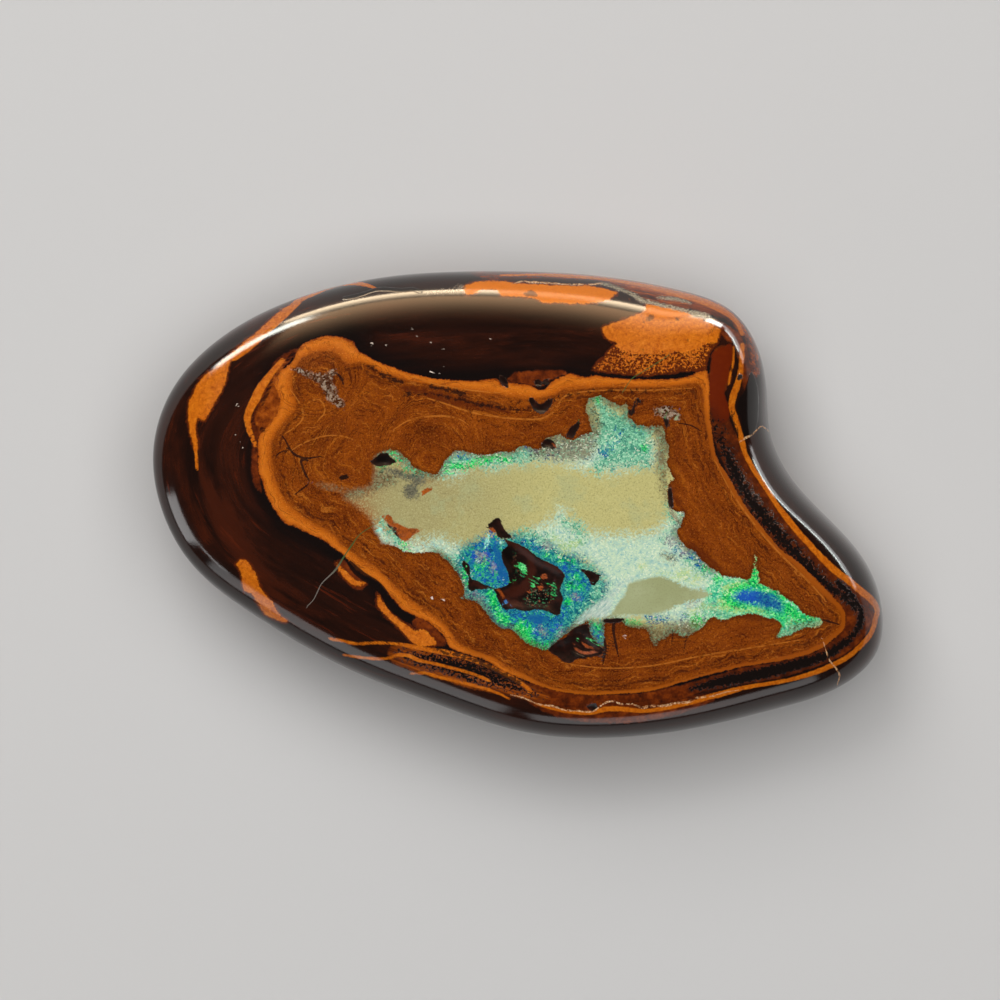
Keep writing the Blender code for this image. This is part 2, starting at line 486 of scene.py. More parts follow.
# The heart. Brown ironstone laid down in fine wavy sheets, with a bright orange rim where it met the
# crust. The rim is a millimetre or so thick and keeps its own finer sheets. Round the knob at the
# upper left, and round a fold beside the opal, the sheets curl into rings.
SWIRL_REACH = 9.0
mark(
    "rim",
    outline(
        (-21.8, 15.7), (-20.6, 16.4), (-19.4, 16.8), (-18.4, 16.8), (-16.8, 16.5), (-16.3, 16.1),
        (-16, 15.4), (-15.2, 14.9), (-14.1, 14.3), (-13.1, 13.9), (-11.7, 13.4), (-10.8, 13.1),
        (-9.5, 12.8), (-8.1, 12.5), (-7.1, 12.5), (-5.1, 12.3), (-2.8, 12.5), (-2.1, 12.6), (-1.5, 11.8),
        (-1, 12.2), (0.2, 12), (1.3, 11.9), (1.9, 11.5), (2.6, 11.5), (3.3, 12.2), (3.9, 12.6),
        (4.7, 12.9), (5.3, 13.1), (6.6, 12.7), (7.7, 12.9), (8.9, 12.7), (11.5, 12.5), (14.2, 12.5),
        (16.2, 12.6), (17.5, 13), (18.8, 13.4), (19.1, 12.3), (19.1, 9.7), (19.3, 7.5), (19.8, 4.7),
        (20.9, 3), (21.7, 1.5), (23, -0.6), (24.8, -2.8), (26.1, -4.4), (27.8, -5.6), (29, -6.7),
        (30.2, -7.9), (31.3, -9.1), (32.3, -10.1), (32.7, -11.2), (32.5, -12.4), (31.7, -13.2),
        (30.8, -14), (29.6, -14.7), (28.2, -15.2), (26.2, -15.6), (24.2, -15.9), (22.2, -16.2),
        (20.2, -16.7), (18.8, -17), (17.1, -17.5), (14.8, -18.2), (12.5, -18.7), (9.7, -18.9), (7, -19),
        (4.3, -18.7), (2.5, -18.2), (1.2, -17.7), (-0.1, -17.2), (-1.5, -16.6), (-2.8, -15.8),
        (-4.1, -15.2), (-5.5, -14.8), (-6.7, -14.4), (-7.2, -13.4), (-7.9, -12.6), (-8.7, -11.9),
        (-9.5, -11.4), (-10.5, -11.1), (-11.7, -10.3), (-12.4, -9.5), (-13.1, -8.8), (-13.7, -8),
        (-14.4, -7.5), (-15.5, -7), (-16.5, -6.2), (-17.3, -5.1), (-18.4, -4.3), (-19.4, -3.6),
        (-20.2, -3.2), (-21.3, -2.7), (-22.2, -2.2), (-23.2, -1.9), (-23.8, -1.2), (-24.6, 0),
        (-25.2, 1.2), (-25.6, 2.5), (-25.9, 3.4), (-25.9, 4.8), (-26, 6), (-25.7, 7), (-24.9, 8),
        (-24.2, 8.8), (-24, 9.2), (-23.8, 10.4), (-24, 11.2), (-24.3, 11.7), (-24.2, 12.5), (-23.7, 13.4),
        (-22.6, 14.1),
        reach=WHOLE_REACH,
    ),
)
mark(
    "core",
    outline(
        (-21.8, 14.4), (-20.9, 14.9), (-19.7, 15.3), (-18.4, 15.2), (-17.6, 14.6), (-17.2, 13.9),
        (-16, 14.2), (-14.8, 13.9), (-13.5, 13.1), (-12.1, 12.7), (-10.8, 12.3), (-9.5, 12.1),
        (-7.5, 11.7), (-6.1, 11.5), (-4.8, 11.3), (-3.5, 11.1), (-2.1, 10.9), (-0.1, 10.6), (1.7, 10.5),
        (3.8, 11), (4.7, 11.4), (6.2, 11.5), (8.2, 11.7), (13.5, 11.7), (15.5, 11.8), (16.9, 12),
        (18.2, 11.9), (18.5, 9.7), (18.8, 7.7), (19.4, 4.8), (20.5, 2.9), (21.3, 1.3), (22.6, -0.8),
        (24.4, -3), (25.7, -4.6), (27.4, -5.9), (28.5, -7.1), (29.7, -8.3), (30.9, -9.4), (31.9, -10.4),
        (32.3, -11.3), (32.1, -12.2), (31.4, -12.9), (30.4, -13.7), (29.3, -14.3), (27.9, -14.8),
        (26.2, -15.2), (24.2, -15.6), (22.2, -15.9), (20.2, -16.4), (18.8, -16.8), (17.1, -17.3),
        (14.8, -17.9), (12.5, -18.4), (9.7, -18.6), (7, -18.7), (4.3, -18.4), (2.5, -17.9), (1.2, -17.2),
        (-0.1, -16.6), (-1.5, -15.8), (-2.8, -15.1), (-4.4, -14.6), (-5.6, -14), (-6.3, -13.4),
        (-6.9, -12.4), (-7.7, -11.6), (-8.7, -10.8), (-9.7, -10.2), (-10.8, -9.4), (-11.6, -8.7),
        (-12.5, -7.8), (-13.5, -6.8), (-14.4, -6), (-15.5, -5.5), (-16.4, -4.8), (-17.5, -4),
        (-18.6, -2.8), (-20, -2), (-20.9, -1.5), (-22, -0.7), (-22.9, 0.2), (-23.6, 1.2), (-24.1, 2.5),
        (-24.4, 3.6), (-24.6, 4.8), (-24.5, 6.1), (-24, 7.3), (-22.8, 8.8), (-22.1, 9.8), (-22.5, 11.8),
        (-22.4, 13.2),
        reach=WHOLE_REACH,
    ),
)
mark("knob", spots((-19.8, 12.6, 0.0), reach=SWIRL_REACH), fade=0.0)
mark("fold", spots((-9.0, 4.2, 0.0), reach=SWIRL_REACH), fade=0.0)
rim, core = frayed("rim", 0.16, 0.16), depth_of("core")
knob, fold = depth_of("knob"), depth_of("fold")
colour = over(colour, (14, 9, 8), rise(rim, -2.6, -0.3) * 0.85)
knob_pull = rise(knob, -5.0, -2.5)
fold_pull = rise(fold, -7.0, -3.0)
sheet_depth = core * (1 - knob_pull) * (1 - fold_pull) + knob * knob_pull + fold * fold_pull
sheet_depth = sheet_depth + drift * 2.4
heart = shade(
    noise(place(x_here * 0.14, y_here * 0.14, sheet_depth * 2.2), 1.0, 5.0, 0.7),
    (0.26, 94, 37, 2),
    (0.42, 118, 50, 3),
    (0.52, 131, 59, 4),
    (0.62, 143, 68, 5),
    (0.78, 164, 86, 14),
)
clouds = noise(here, 0.24, 4.0, 0.6, 0.8)
heart = over(heart, (98, 39, 3), rise(clouds, 0.50, 0.70) * 0.65)
heart = over(heart, (154, 74, 7), rise(clouds, 0.46, 0.28) * 0.6)
fine_sheets = noise(place(x_here * 0.35, y_here * 0.35, (sheet_depth + sway * 0.5) * 6.0), 1.0, 3.0, 0.6)
lined = 1 - (1 - rise(core, 5.0, 1.2)) * (1 - rise(x_here, 4.0, -4.0) * 0.7)
heart = over(heart, (66, 22, 3), rise(fine_sheets, 0.54, 0.66) * lined * 0.85)
heart = over(heart, (192, 112, 30), rise(fine_sheets, 0.42, 0.32) * lined * 0.6)
heart = over(heart, (62, 20, 2), rise(dust, 0.52, 0.66) * 0.8)
heart = over(heart, (196, 110, 30), rise(dust, 0.45, 0.30) * 0.65)
heart = over(heart, (58, 18, 3), rise(noise(here, 4.0, 3.0, 0.7), 0.64, 0.73) * 0.75)
rim_width = rim - core
rim_colour = shade(
    rim / (rim_width + 0.02) + sway * 0.35,
    (0.0, 126, 50, 6),
    (0.10, 184, 90, 12),
    (0.35, 208, 112, 20),
    (0.70, 188, 94, 12),
    (1.0, 150, 70, 7),
)
rim_colour = over(rim_colour, (112, 46, 5), rise(fine_sheets, 0.54, 0.66) * 0.7)
rim_colour = over(rim_colour, (234, 144, 44), rise(grain, 0.46, 0.30) * 0.45)
rim_colour = over(rim_colour, (110, 44, 5), rise(dust, 0.54, 0.70) * 0.55)
rim_colour = over((164, 82, 10), rim_colour, rise(rim_width, 0.35, 0.8) * 0.8 + 0.2)
lower_right = rise(x_here + drift * 6.0, 10.0, 22.0) * rise(y_here, 11.0, 5.0)
rim_colour = over(rim_colour, (146, 68, 7), lower_right * 0.7)
in_rim = rise(rim, -0.05, 0.06)
off_rim = 1 - in_rim
colour = over(colour, rim_colour, in_rim)
colour = over(colour, heart, rise(core + sway * 0.3, -0.1, 0.15))
dark_sheet_depth = core + drift * 1.4 - 0.7
dark_sheet = rise(dark_sheet_depth, 0.22, 0.04) * rise(dark_sheet_depth, -0.22, -0.04)
colour = over(colour, (70, 28, 6), dark_sheet * rise(ragged, 0.42, 0.60) * 0.8)

# Single dark sheets of the heart beside its rim, and pale threads between the sheets.
mark(
    "shadow_sheet",
    stroke(
        (-11.8, 11.7, 0.3), (-10.3, 11.4, 0.6), (-8.6, 10.9, 0.8), (-6.8, 10.5, 0.9), (-4.8, 10, 0.9),
        (-2.8, 9.6, 0.7), (-0.8, 9.4, 0.4),
    ),
    stroke((16.8, -3.9, 0.5), (17.6, -4.5, 0.8), (18.6, -5.3, 0.9), (19.5, -6.1, 0.8), (20.3, -6.9, 0.5)),
    stroke((20.4, -11.3, 0.2), (21.9, -11.1, 0.5), (23.7, -11.2, 0.7), (25.2, -11.6, 0.3)),
    stroke((15, 1.9, 0.4), (15.8, 0.5, 0.4), (16.6, -0.7, 0.3)),
)
colour = over(colour, (92, 34, 5), rise(depth_of("shadow_sheet") + sway * 0.8, -0.25, 0.2) * 0.75)
hairlines(
    "thread",
    (
        (-9.4, 10.7, 0.15), (-7.1, 10, 0.15), (-4.7, 9.2, 0.2), (-1.7, 8.7, 0.2), (0.7, 8.5, 0.2),
        (2.5, 8.6, 0.2), (3.8, 9.5, 0.2), (4.4, 10.6, 0.15), (6.1, 11.2, 0.15), (9.2, 11.4, 0.15),
        (13.2, 11.4, 0.15), (17.2, 11.6, 0.1),
    ),
    (
        (-12.5, 7.4, 0.1), (-11.3, 8.2, 0.15), (-10.2, 8.6, 0.2), (-8.6, 8.8, 0.2), (-7.1, 8.8, 0.2),
        (-5.8, 8.5, 0.15), (-5, 8, 0.1),
    ),
    (
        (-23, 5.1, 0.1), (-22, 5.8, 0.15), (-21, 6.3, 0.15), (-19.8, 6.7, 0.15), (-18.7, 6.9, 0.15),
        (-17.4, 6.8, 0.15), (-16.4, 6.5, 0.1),
    ),
    (
        (-22.7, 11.4, 0.1), (-21.9, 10.3, 0.15), (-21.4, 9, 0.2), (-21.7, 8.2, 0.15), (-22.4, 7.6, 0.15),
        (-23.2, 7.1, 0.1),
    ),
    ((-20.9, 10.1, 0.1), (-20.1, 10.6, 0.15), (-19.4, 10, 0.15), (-19.3, 9.1, 0.15), (-20, 8.4, 0.1)),
    ((-10.6, 12.7, 0.1), (-7.8, 11.9, 0.15), (-4.8, 11.4, 0.15), (-1.8, 11.1, 0.1)),
    (
        (19.7, 4.3, 0.1), (21, 1.7, 0.15), (22.6, -0.7, 0.2), (24.4, -3, 0.2), (26.4, -5.2, 0.2),
        (28.8, -7.5, 0.2), (30.6, -9.5, 0.15),
    ),
    (
        (4.2, -15.7, 0.1), (8.2, -16.3, 0.15), (13.2, -16.1, 0.15), (18.2, -15.1, 0.15),
        (23.2, -14.3, 0.15), (28.2, -13.5, 0.1),
    ),
)
thread = hairline("thread", 1.0) * rise(ragged, 0.34, 0.56)
colour = over(colour, (198, 116, 34), thread * 0.6)

# Red-brown ironstone past the heart's right side, under it and in its recesses, with browner
# terraces and thin dark ditches on the left.
mark(
    "red",
    outline(
        (19.7, 15.6), (21.3, 15.8), (21.5, 14.5), (21, 13.6), (21.4, 12.6), (20.7, 11.4), (20.2, 10.2),
        (20.8, 9.5), (21.3, 8), (22, 6.5), (22.9, 4.7), (23.9, 2.8), (25.2, 0.8), (26.7, -1.2),
        (28.2, -3.1), (29.7, -4.8), (31.7, -6.8), (34, -8.7), (35.4, -9.9), (35.6, -11.1), (34.8, -12.9),
        (33.2, -14.6), (31, -15.7), (28.2, -16.7), (25.2, -17.5), (22.2, -17.9), (19.4, -18.5),
        (18.2, -18.5), (19.9, -17.1), (22.2, -16.3), (26.2, -15.6), (29.6, -14.7), (31.7, -13.2),
        (32.7, -11.2), (31.3, -9.1), (29, -6.7), (26.1, -4.4), (23, -0.6), (20.9, 3), (19.3, 7.5),
        (18.9, 10.5), (19.1, 13.2),
    ),
    stroke(
        (0.6, -18.7, 0.8), (2.2, -19.7, 1.4), (4.7, -20.6, 1.6), (8.2, -20.9, 1.8), (12.2, -20.8, 1.8),
        (16.2, -20.1, 1.4), (19.2, -19.3, 0.9),
    ),
    stroke(
        (1.2, -18.1, 0.8), (2.9, -19, 1.4), (4.3, -19.4, 1.6), (7.2, -19.7, 1.5), (10.2, -19.7, 1.5),
        (13.2, -19.4, 1.4), (16.2, -18.7, 1.4), (18.2, -18.1, 1.2), (20.7, -17.4, 1), (23.2, -16.8, 0.6),
    ),
    outline(
        (-21.8, 15.5), (-22.8, 14.3), (-23.9, 13.2), (-24.3, 11.7), (-23.9, 10.4), (-24.1, 9.2),
        (-25, 7.9), (-25.8, 6.5), (-25.9, 4), (-25.5, 1.3), (-26.2, 1.7), (-26.6, 3.5), (-26.5, 6.5),
        (-27.1, 8), (-26.6, 10), (-25.6, 12), (-24.2, 14.1), (-22.8, 15.3),
    ),
    stroke((-22, 15.3, 0.4), (-22.9, 14.9, 0.6), (-23.8, 14.5, 0.5), (-24.6, 13.3, 0.3)),
    outline(
        (-0.4, 13.1), (1.2, 13.3), (3.2, 13.4), (4.6, 13.4), (4.8, 12.9), (3.4, 12.4), (2.2, 11.7),
        (0.2, 12.1), (-1.2, 12.1),
    ),
    outline(
        (-18.1, -5.9), (-17.5, -5.5), (-16.1, -6.8), (-15, -7.7), (-15.3, -8.2), (-16.1, -8.5),
        (-17.3, -7.5),
    ),
    outline(
        (-10.5, -11.2), (-9.3, -11.5), (-7.8, -12.8), (-7.1, -13.8), (-8.1, -14.1), (-9.3, -13.1),
        (-10.4, -12.1),
    ),
    outline(
        (19.4, 18.5), (21.7, 17.5), (22.7, 16), (23.4, 13.3), (22.7, 11.3), (22.3, 12.5), (21.7, 15.5),
        (20.2, 17),
    ),
    outline(
        (-4.8, 23.4), (-1.8, 23.7), (8.2, 23.7), (14.2, 22.5), (18.2, 21.5), (21.2, 20), (22.7, 18),
        (22, 17.7), (20.4, 19.3), (18.2, 20.4), (15.2, 21.2), (12.2, 21.9), (8.2, 22.4), (2.2, 22.6),
        (-2.8, 22.5),
    ),
    fade=CRUST_FADE,
)
red_colour = shade(noise(here, 1.1, 5.0, 0.65), (0.3, 54, 18, 4), (0.5, 96, 36, 6), (0.68, 136, 58, 9))
colour = over(colour, red_colour, rise(frayed("red", 0.22, 0.1), -0.12, 0.15) * off_rim)
mark(
    "terrace",
    outline(
        (-23.2, 14.5), (-24.1, 13.3), (-24.7, 12.1), (-25.1, 11.2), (-25.6, 10.3), (-26, 9.4),
        (-26.2, 8.5), (-26, 7.7), (-25.5, 7.1), (-24.6, 7.5), (-23.6, 8.5), (-23.2, 10), (-23.3, 11.5),
        (-23.4, 13),
    ),
)
terrace_stops = (0.34, 98, 38, 5), (0.5, 136, 60, 7), (0.64, 164, 80, 12)
terrace_colour = shade(noise(here, 1.6, 4.0, 0.7), *terrace_stops)
colour = over(colour, terrace_colour, rise(frayed("terrace", 0.2, 0.2), -0.1, 0.15) * off_rim)
mark(
    "ditch",
    stroke((-22.2, 15.2, 0.2), (-22.7, 14.8, 0.4), (-23, 14.4, 0.3)),
    stroke((-24.6, 12.2, 0.3), (-24.9, 11.4, 0.4), (-25.3, 10.6, 0.4), (-25.6, 9.9, 0.3)),
    stroke((-26.3, 9.2, 0.3), (-26.5, 8.6, 0.4), (-26.4, 8, 0.3)),
    spots((-25.5, 7.5, 0.6)),
)
colour = over(colour, (34, 10, 5), rise(frayed("ditch", 0.14, 0.1), -0.1, 0.06) * 0.85)

# Burnt orange skin along the upper right edge, and marbled ground of the same streaks at the
# lower left, above the bottom edge.
mark(
    "burnt",
    outline(
        (2.7, 23.7), (8.2, 23.5), (13.2, 22.9), (17.2, 22.1), (20.7, 20.7), (23, 18.7), (24, 16),
        (24.2, 13.3), (23.4, 12.7), (23, 15.5), (22.2, 17.1), (21, 18.3), (19.4, 18.9), (17.4, 19.4),
        (14.2, 20.1), (12.7, 20.5), (11.2, 21.3), (9.4, 22), (8.2, 22.4), (5.7, 22.6), (3, 22.8),
    ),
    fade=CRUST_FADE,
)
streak_x, streak_y = (x_here + y_here) * 0.16, (x_here * 0.35 + y_here) * 1.7
burnt_streaks = noise(place(streak_x, streak_y, z_here * 1.7), 1.0, 5.0, 0.7, 0.5)
burnt_colour = shade(
    burnt_streaks,
    (0.30, 34, 12, 6),
    (0.44, 88, 32, 8),
    (0.54, 138, 58, 10),
    (0.64, 190, 92, 18),
    (0.78, 224, 128, 44),
)
colour = over(colour, burnt_colour, rise(frayed("burnt", 0.3, 0.15), -0.15, 0.2) * off_rim)
mark(
    "marbling",
    outline(
        (-12.6, -14.1), (-9.5, -14.4), (-6.8, -14.6), (-4, -15.4), (-1.5, -16.5), (1.2, -18),
        (3.2, -19.1), (2.2, -19.7), (-0.6, -19.2), (-2.8, -18.7), (-5.3, -18.2), (-7.8, -17.4),
        (-10.6, -16.6), (-12.8, -15.5),
    ),
)
marbled_colour = shade(burnt_streaks, (0.34, 60, 22, 6), (0.5, 122, 54, 8), (0.66, 180, 88, 14))
colour = over(colour, marbled_colour, rise(frayed("marbling", 0.25, 0.15), -0.15, 0.2) * off_rim)

# A plain red panel at the upper right, and the strip of black grains that runs round the heart's
# right side and lies over the panel's lower end.
mark(
    "panel",
    outline(
        (19.3, 14.9), (19.8, 15.5), (20.6, 15.8), (21.4, 16), (21.4, 14.5), (21.1, 13.5), (20.9, 12.3),
        (20.5, 11.4), (20.8, 10.4), (21.2, 9.4), (20.9, 8.4), (20.2, 8.1), (19.5, 8.6), (19.1, 10.3),
        (19.1, 12.3), (19.2, 13.7),
    ),
)
colour = over(colour, (104, 30, 2), rise(depth_of("panel") + sway * 0.4, -0.1, 0.12) * off_rim * 0.9)
mark(
    "strip",
    outline(
        (19, 8.7), (19.6, 8.8), (20.3, 7.4), (21.3, 5.9), (22.1, 4.3), (22.9, 2.8), (23.8, 1.4),
        (24.8, 0), (26, -1.5), (27.4, -3.1), (28.8, -4.7), (30.4, -6.3), (30.8, -6.9), (29.4, -6.7),
        (28.2, -6.3), (26.7, -5.2), (25.3, -3.7), (24.2, -2.3), (22.9, -0.9), (21.9, 0.8), (21, 2.3),
        (20.3, 4), (19.8, 5.9), (19.1, 7.5),
    ) * 1.6,
    outline(
        (-12, -14.3), (-9.5, -14.5), (-6.8, -14.7), (-4, -15.5), (-1.5, -16.6), (1.2, -18.1),
        (2.9, -19.2), (1.2, -19.4), (-0.6, -18.9), (-2.8, -18.5), (-5.3, -17.9), (-7.8, -17.1),
        (-10.3, -16.3), (-12.2, -15.3),
    ) * 1.2,
    stroke((19.1, 9, 0.5), (19.5, 8.3, 1), (20.4, 7.3, 1.1)),
    stroke(
        (16.8, -18.5, 0.4), (18.5, -18.1, 0.9), (20.7, -17.6, 1.3), (23.2, -17.1, 1.4),
        (26.2, -16.4, 1.4), (28.7, -15.7, 1.3), (30.8, -15, 1.1), (32.6, -13.8, 1), (33.9, -12.4, 0.9),
        (34.3, -10.8, 0.9), (33.3, -9.2, 0.9), (32, -7.8, 1),
    ) * 4.0,
    stroke(
        (28.2, -5.7, 1.4), (30.6, -7.8, 1.3), (32.8, -9.5, 1.1), (34, -10.7, 0.9), (34, -11.9, 0.8),
        (33.2, -13.3, 0.8), (31.8, -14.4, 0.8), (29.8, -15.3, 0.8), (27.6, -16.1, 0.8), (25, -16.8, 0.8),
        (22.4, -17.3, 0.8), (19.4, -18, 0.6),
    ) * 2.6,
)
strip_shadow = rise(depth_of("strip"), -1.6, 0.8) * rise(x_here, 15.0, 20.0)
colour = over(colour, (44, 18, 8), strip_shadow * off_rim * 0.55)
strip_grains = noise(here, 3.4, 3.0, 0.75) - 0.5
strip = rise(depth_of("strip") + strip_grains * 6.0 - 0.75, -0.35, 0.1)
colour = over(colour, (20, 12, 9), strip * off_rim)

# Orange veins and patches in the crust, of soft ochre that filled old cracks. Along the upper edge
# it is brightest, and the right-hand patch is worn thin and speckled at its lower edge.
mark(
    "vein",
    stroke(
        (22.2, 6.5, 0.5), (22.7, 5, 0.5), (23.4, 3.7, 0.5), (24.1, 2.6, 0.5), (24.9, 1.4, 0.5),
        (25.8, 0, 0.5), (26.7, -1.2, 0.6), (27.8, -2.6, 0.6), (28.9, -3.8, 0.6), (29.8, -4.8, 0.6),
        (30.9, -5.9, 0.7), (31.9, -6.8, 0.7), (32.9, -7.5, 0.7), (34.2, -8.6, 0.7), (35.3, -9.5, 0.7),
        (35.9, -10.5, 0.6), (35.7, -11.5, 0.5), (35.4, -12.6, 0.5), (34.7, -13.6, 0.5),
        (33.9, -14.4, 0.5), (32.6, -15.4, 0.5), (31, -16.2, 0.5), (29.5, -16.8, 0.5), (27.5, -17.4, 0.4),
        (25.5, -17.8, 0.4), (23.5, -18.1, 0.4), (21.5, -18.5, 0.4), (19.5, -19, 0.4), (18.2, -19.4, 0.4),
    ),
    stroke(
        (1.8, -19.9, 0.2), (3.3, -20.3, 0.3), (5.1, -20.7, 0.3), (7.1, -20.8, 0.4), (8.8, -20.4, 0.5),
        (10.4, -20.4, 0.5), (12.5, -20.6, 0.4), (14.8, -20.3, 0.4), (17.1, -19.8, 0.4),
        (18.8, -19.4, 0.3), (20.4, -19, 0.3), (22.2, -18.5, 0.2),
    ),
    stroke(
        (22.4, 15.9, 0.5), (22.3, 14, 0.5), (22, 12.3, 0.6), (21.5, 10.9, 0.7), (21.3, 9.7, 0.6),
        (21.7, 8.5, 0.6), (22.1, 7.3, 0.5), (22.5, 5.9, 0.5),
    ),
    stroke((21.5, 15.8, 0.2), (21.5, 14.3, 0.2), (21.2, 13.1, 0.2), (21, 11.9, 0.2)),
    stroke(
        (-23.5, 14.4, 0.5), (-24.5, 13.2, 0.6), (-25.2, 12.3, 0.8), (-25.8, 11.4, 0.9),
        (-26.2, 10.5, 0.9), (-26.7, 9.6, 0.8), (-27, 8.7, 0.7), (-26.9, 7.8, 0.6), (-26.6, 6.9, 0.5),
        (-26.1, 5.8, 0.4),
    ),
    stroke((-22.2, 20.2, 0.6), (-21.2, 20.8, 0.5), (-20.2, 21.2, 0.4)),
    stroke((-32.2, 5.9, 0.4), (-32.1, 4.7, 0.3), (-32, 3.5, 0.3)),
    stroke(
        (-28.4, 14.5, 0.5), (-26.8, 15.7, 0.6), (-25, 17.4, 0.7), (-23.4, 18.9, 0.7), (-22, 20.2, 0.6),
    ),
    stroke(
        (-18.8, -13.4, 0.3), (-17.5, -13.6, 0.3), (-16.1, -13.9, 0.3), (-14.1, -13.8, 0.3),
        (-12.1, -13.9, 0.3), (-10.8, -14.1, 0.4), (-9.3, -14.4, 0.4), (-6.8, -14.7, 0.3),
        (-4, -15.6, 0.3),
    ),
    stroke(
        (-17.5, -15, 0.2), (-16.1, -15.2, 0.3), (-14.1, -15.4, 0.3), (-12.8, -15.3, 0.3),
        (-11.9, -15, 0.4), (-10.8, -15.1, 0.4), (-10, -15.5, 0.4), (-7.8, -16, 0.3), (-4.8, -16.8, 0.3),
        (-2.8, -17.6, 0.3),
    ),
    stroke(
        (-8.8, -14.6, 0.3), (-6.3, -15, 0.4), (-3.8, -15.8, 0.3), (-1.3, -16.9, 0.4), (0.4, -17.9, 0.4),
        (1.3, -18.7, 0.3), (0.2, -19.2, 0.2),
    ),
    stroke(
        (-10.8, -16.9, 0.2), (-9.3, -16.8, 0.3), (-7.9, -17.2, 0.3), (-5.5, -17.8, 0.3),
        (-2.8, -18.5, 0.3), (-0.8, -19.4, 0.2),
    ),
    stroke(
        (-1.8, 22.9, 0.3), (2.2, 23, 0.4), (5.2, 22.9, 0.6), (8.2, 22.7, 0.6), (12.2, 22.1, 0.7),
        (15.2, 21.3, 0.8), (18.2, 20.4, 0.8), (20.4, 19.4, 0.7), (21.8, 18.3, 0.6), (22.4, 17, 0.5),
    ) - 0.05,
    fade=CRUST_FADE,
)
mark(
    "patch",
    outline(
        (-5.5, 21.8), (-4.8, 22.1), (-4.2, 22.3), (-3, 22.4), (-2.1, 22.4), (-1.2, 22.3), (-0.4, 22.1),
        (1.6, 22.1), (4.2, 21.9), (6.3, 21.9), (7.4, 21.9), (9, 21.5), (10, 21.2), (9.6, 20.8), (9, 20.4),
        (7.9, 20.1), (6.3, 20), (4.2, 20.1), (2.8, 20.1), (1.9, 20.4), (1.1, 20.6), (0, 20.7),
        (-1.6, 20.8), (-2.1, 21.3), (-2.8, 21.4), (-3.6, 21.4), (-4.2, 21), (-5.1, 20.9), (-5.5, 21.3),
    ),
    outline(
        (12.7, 20), (13.9, 19.9), (15.3, 19.6), (16.9, 19.3), (17.4, 18.8), (18.8, 18.4), (19.7, 17.9),
        (20.3, 17.5), (20, 16.6), (19.7, 15.9), (19.1, 15.3), (18.8, 14.3), (18.6, 13.5), (17.2, 13.4),
        (15.2, 13.2), (13.2, 12.9), (11.2, 13), (9.2, 13.2), (8, 13.3), (7.4, 13.5), (8.1, 14.3),
        (8.7, 14.9), (9.2, 15.5), (9.8, 16.1), (9.3, 16.3), (8.8, 16.5), (8.5, 17.1), (8.4, 17.7),
        (9.2, 18), (10.2, 18.4), (11.3, 18.8), (12.2, 19.1), (12.6, 19.5),
    ),
    outline(
        (-21.8, 20.4), (-22.9, 19.2), (-24, 18.4), (-24.8, 17.6), (-25.8, 16.4), (-26.6, 15.7),
        (-28, 14.9), (-28.8, 14.1), (-29, 12.8), (-29.4, 11.5), (-30.1, 10.3), (-30.8, 9.2), (-31.3, 8.3),
        (-32, 8.6), (-32.1, 7.3), (-31.9, 5.6), (-32.3, 5.6), (-32.8, 7.2), (-33, 9), (-32.8, 10.4),
        (-32.2, 11.6), (-31.5, 12.8), (-30.5, 13.5), (-29.4, 14.5), (-27.8, 15.9), (-26, 17.3),
        (-24.6, 18.7), (-23.2, 19.8),
    ),
    outline(
        (-28.1, -6), (-27.7, -5.5), (-27, -5.6), (-26.5, -6.3), (-26, -7.2), (-25.6, -8.4), (-24.9, -9.2),
        (-24.2, -10.2), (-23.8, -11), (-23, -11.5), (-23.3, -11.8), (-24.2, -11.5), (-25.3, -11),
        (-25.8, -10.2), (-26.6, -9), (-27.4, -8.7), (-27.5, -7.9), (-27.7, -6.8),
    ),
    outline(
        (-14, -8.8), (-14.1, -9.8), (-13.9, -10.4), (-13.2, -11.1), (-12.4, -11.8), (-11.6, -12.6),
        (-10.9, -13.4), (-10.3, -14), (-9.5, -14.2), (-8.4, -14.1), (-8.1, -13.7), (-8.9, -12.8),
        (-9.5, -12.3), (-10.1, -12.6), (-10.8, -12.1), (-11.6, -11.6), (-12.4, -11), (-12.9, -10.3),
        (-13.5, -9.7), (-13.7, -9.1),
    ),
    stroke(
        (-18.1, -5.9, 0.3), (-17.5, -6.7, 0.6), (-16.8, -7.4, 0.7), (-16.1, -7.9, 0.6),
        (-15.2, -7.8, 0.3),
    ),
    fade=CRUST_FADE,
)
ochre_grain = noise(place(x_here, y_here, z_here), 2.6, 5.0, 0.7, 0.6)
ochre_stops = (0.30, 158, 68, 6), (0.44, 192, 96, 10), (0.56, 208, 111, 15), (0.75, 228, 138, 36)
ochre = shade(ochre_grain, *ochre_stops)
mark(
    "bright_ochre",
    outline(
        (-5.8, 22.5), (-1.8, 22.9), (4.2, 22.5), (8.2, 22.2), (10.7, 21.3), (10, 20.5), (8.2, 19.7),
        (2.2, 19.7), (-1.8, 20.5), (-3.8, 20.9), (-5.8, 20.5),
    ),
    outline(
        (12.5, 19.9), (13.9, 20), (15.3, 19.7), (16.9, 19.4), (17.2, 19), (16.2, 18.7), (14.8, 18.6),
        (13.5, 18.7), (12.7, 19.2),
    ),
)
ochre = over(ochre, (230, 122, 4), rise(depth_of("bright_ochre") + sway * 0.6, -0.2, 0.3) * 0.75)
mark(
    "ochre_bare",
    outline(
        (7.2, 14.9), (9.4, 15.3), (12.2, 15.3), (15, 15.5), (17.2, 15.3), (19.4, 15.9), (19.6, 14.5),
        (18.8, 13.3), (16.2, 12.9), (12.2, 12.9), (8.2, 13.1), (7.2, 13.7),
    ),
)
bare = rise(depth_of("ochre_bare"), -0.6, 0.5) * rise(noise(here, 3.8, 3.0, 0.8), 0.42, 0.58)
patch = frayed("patch", 0.24, 0.18) - bare * 3.0
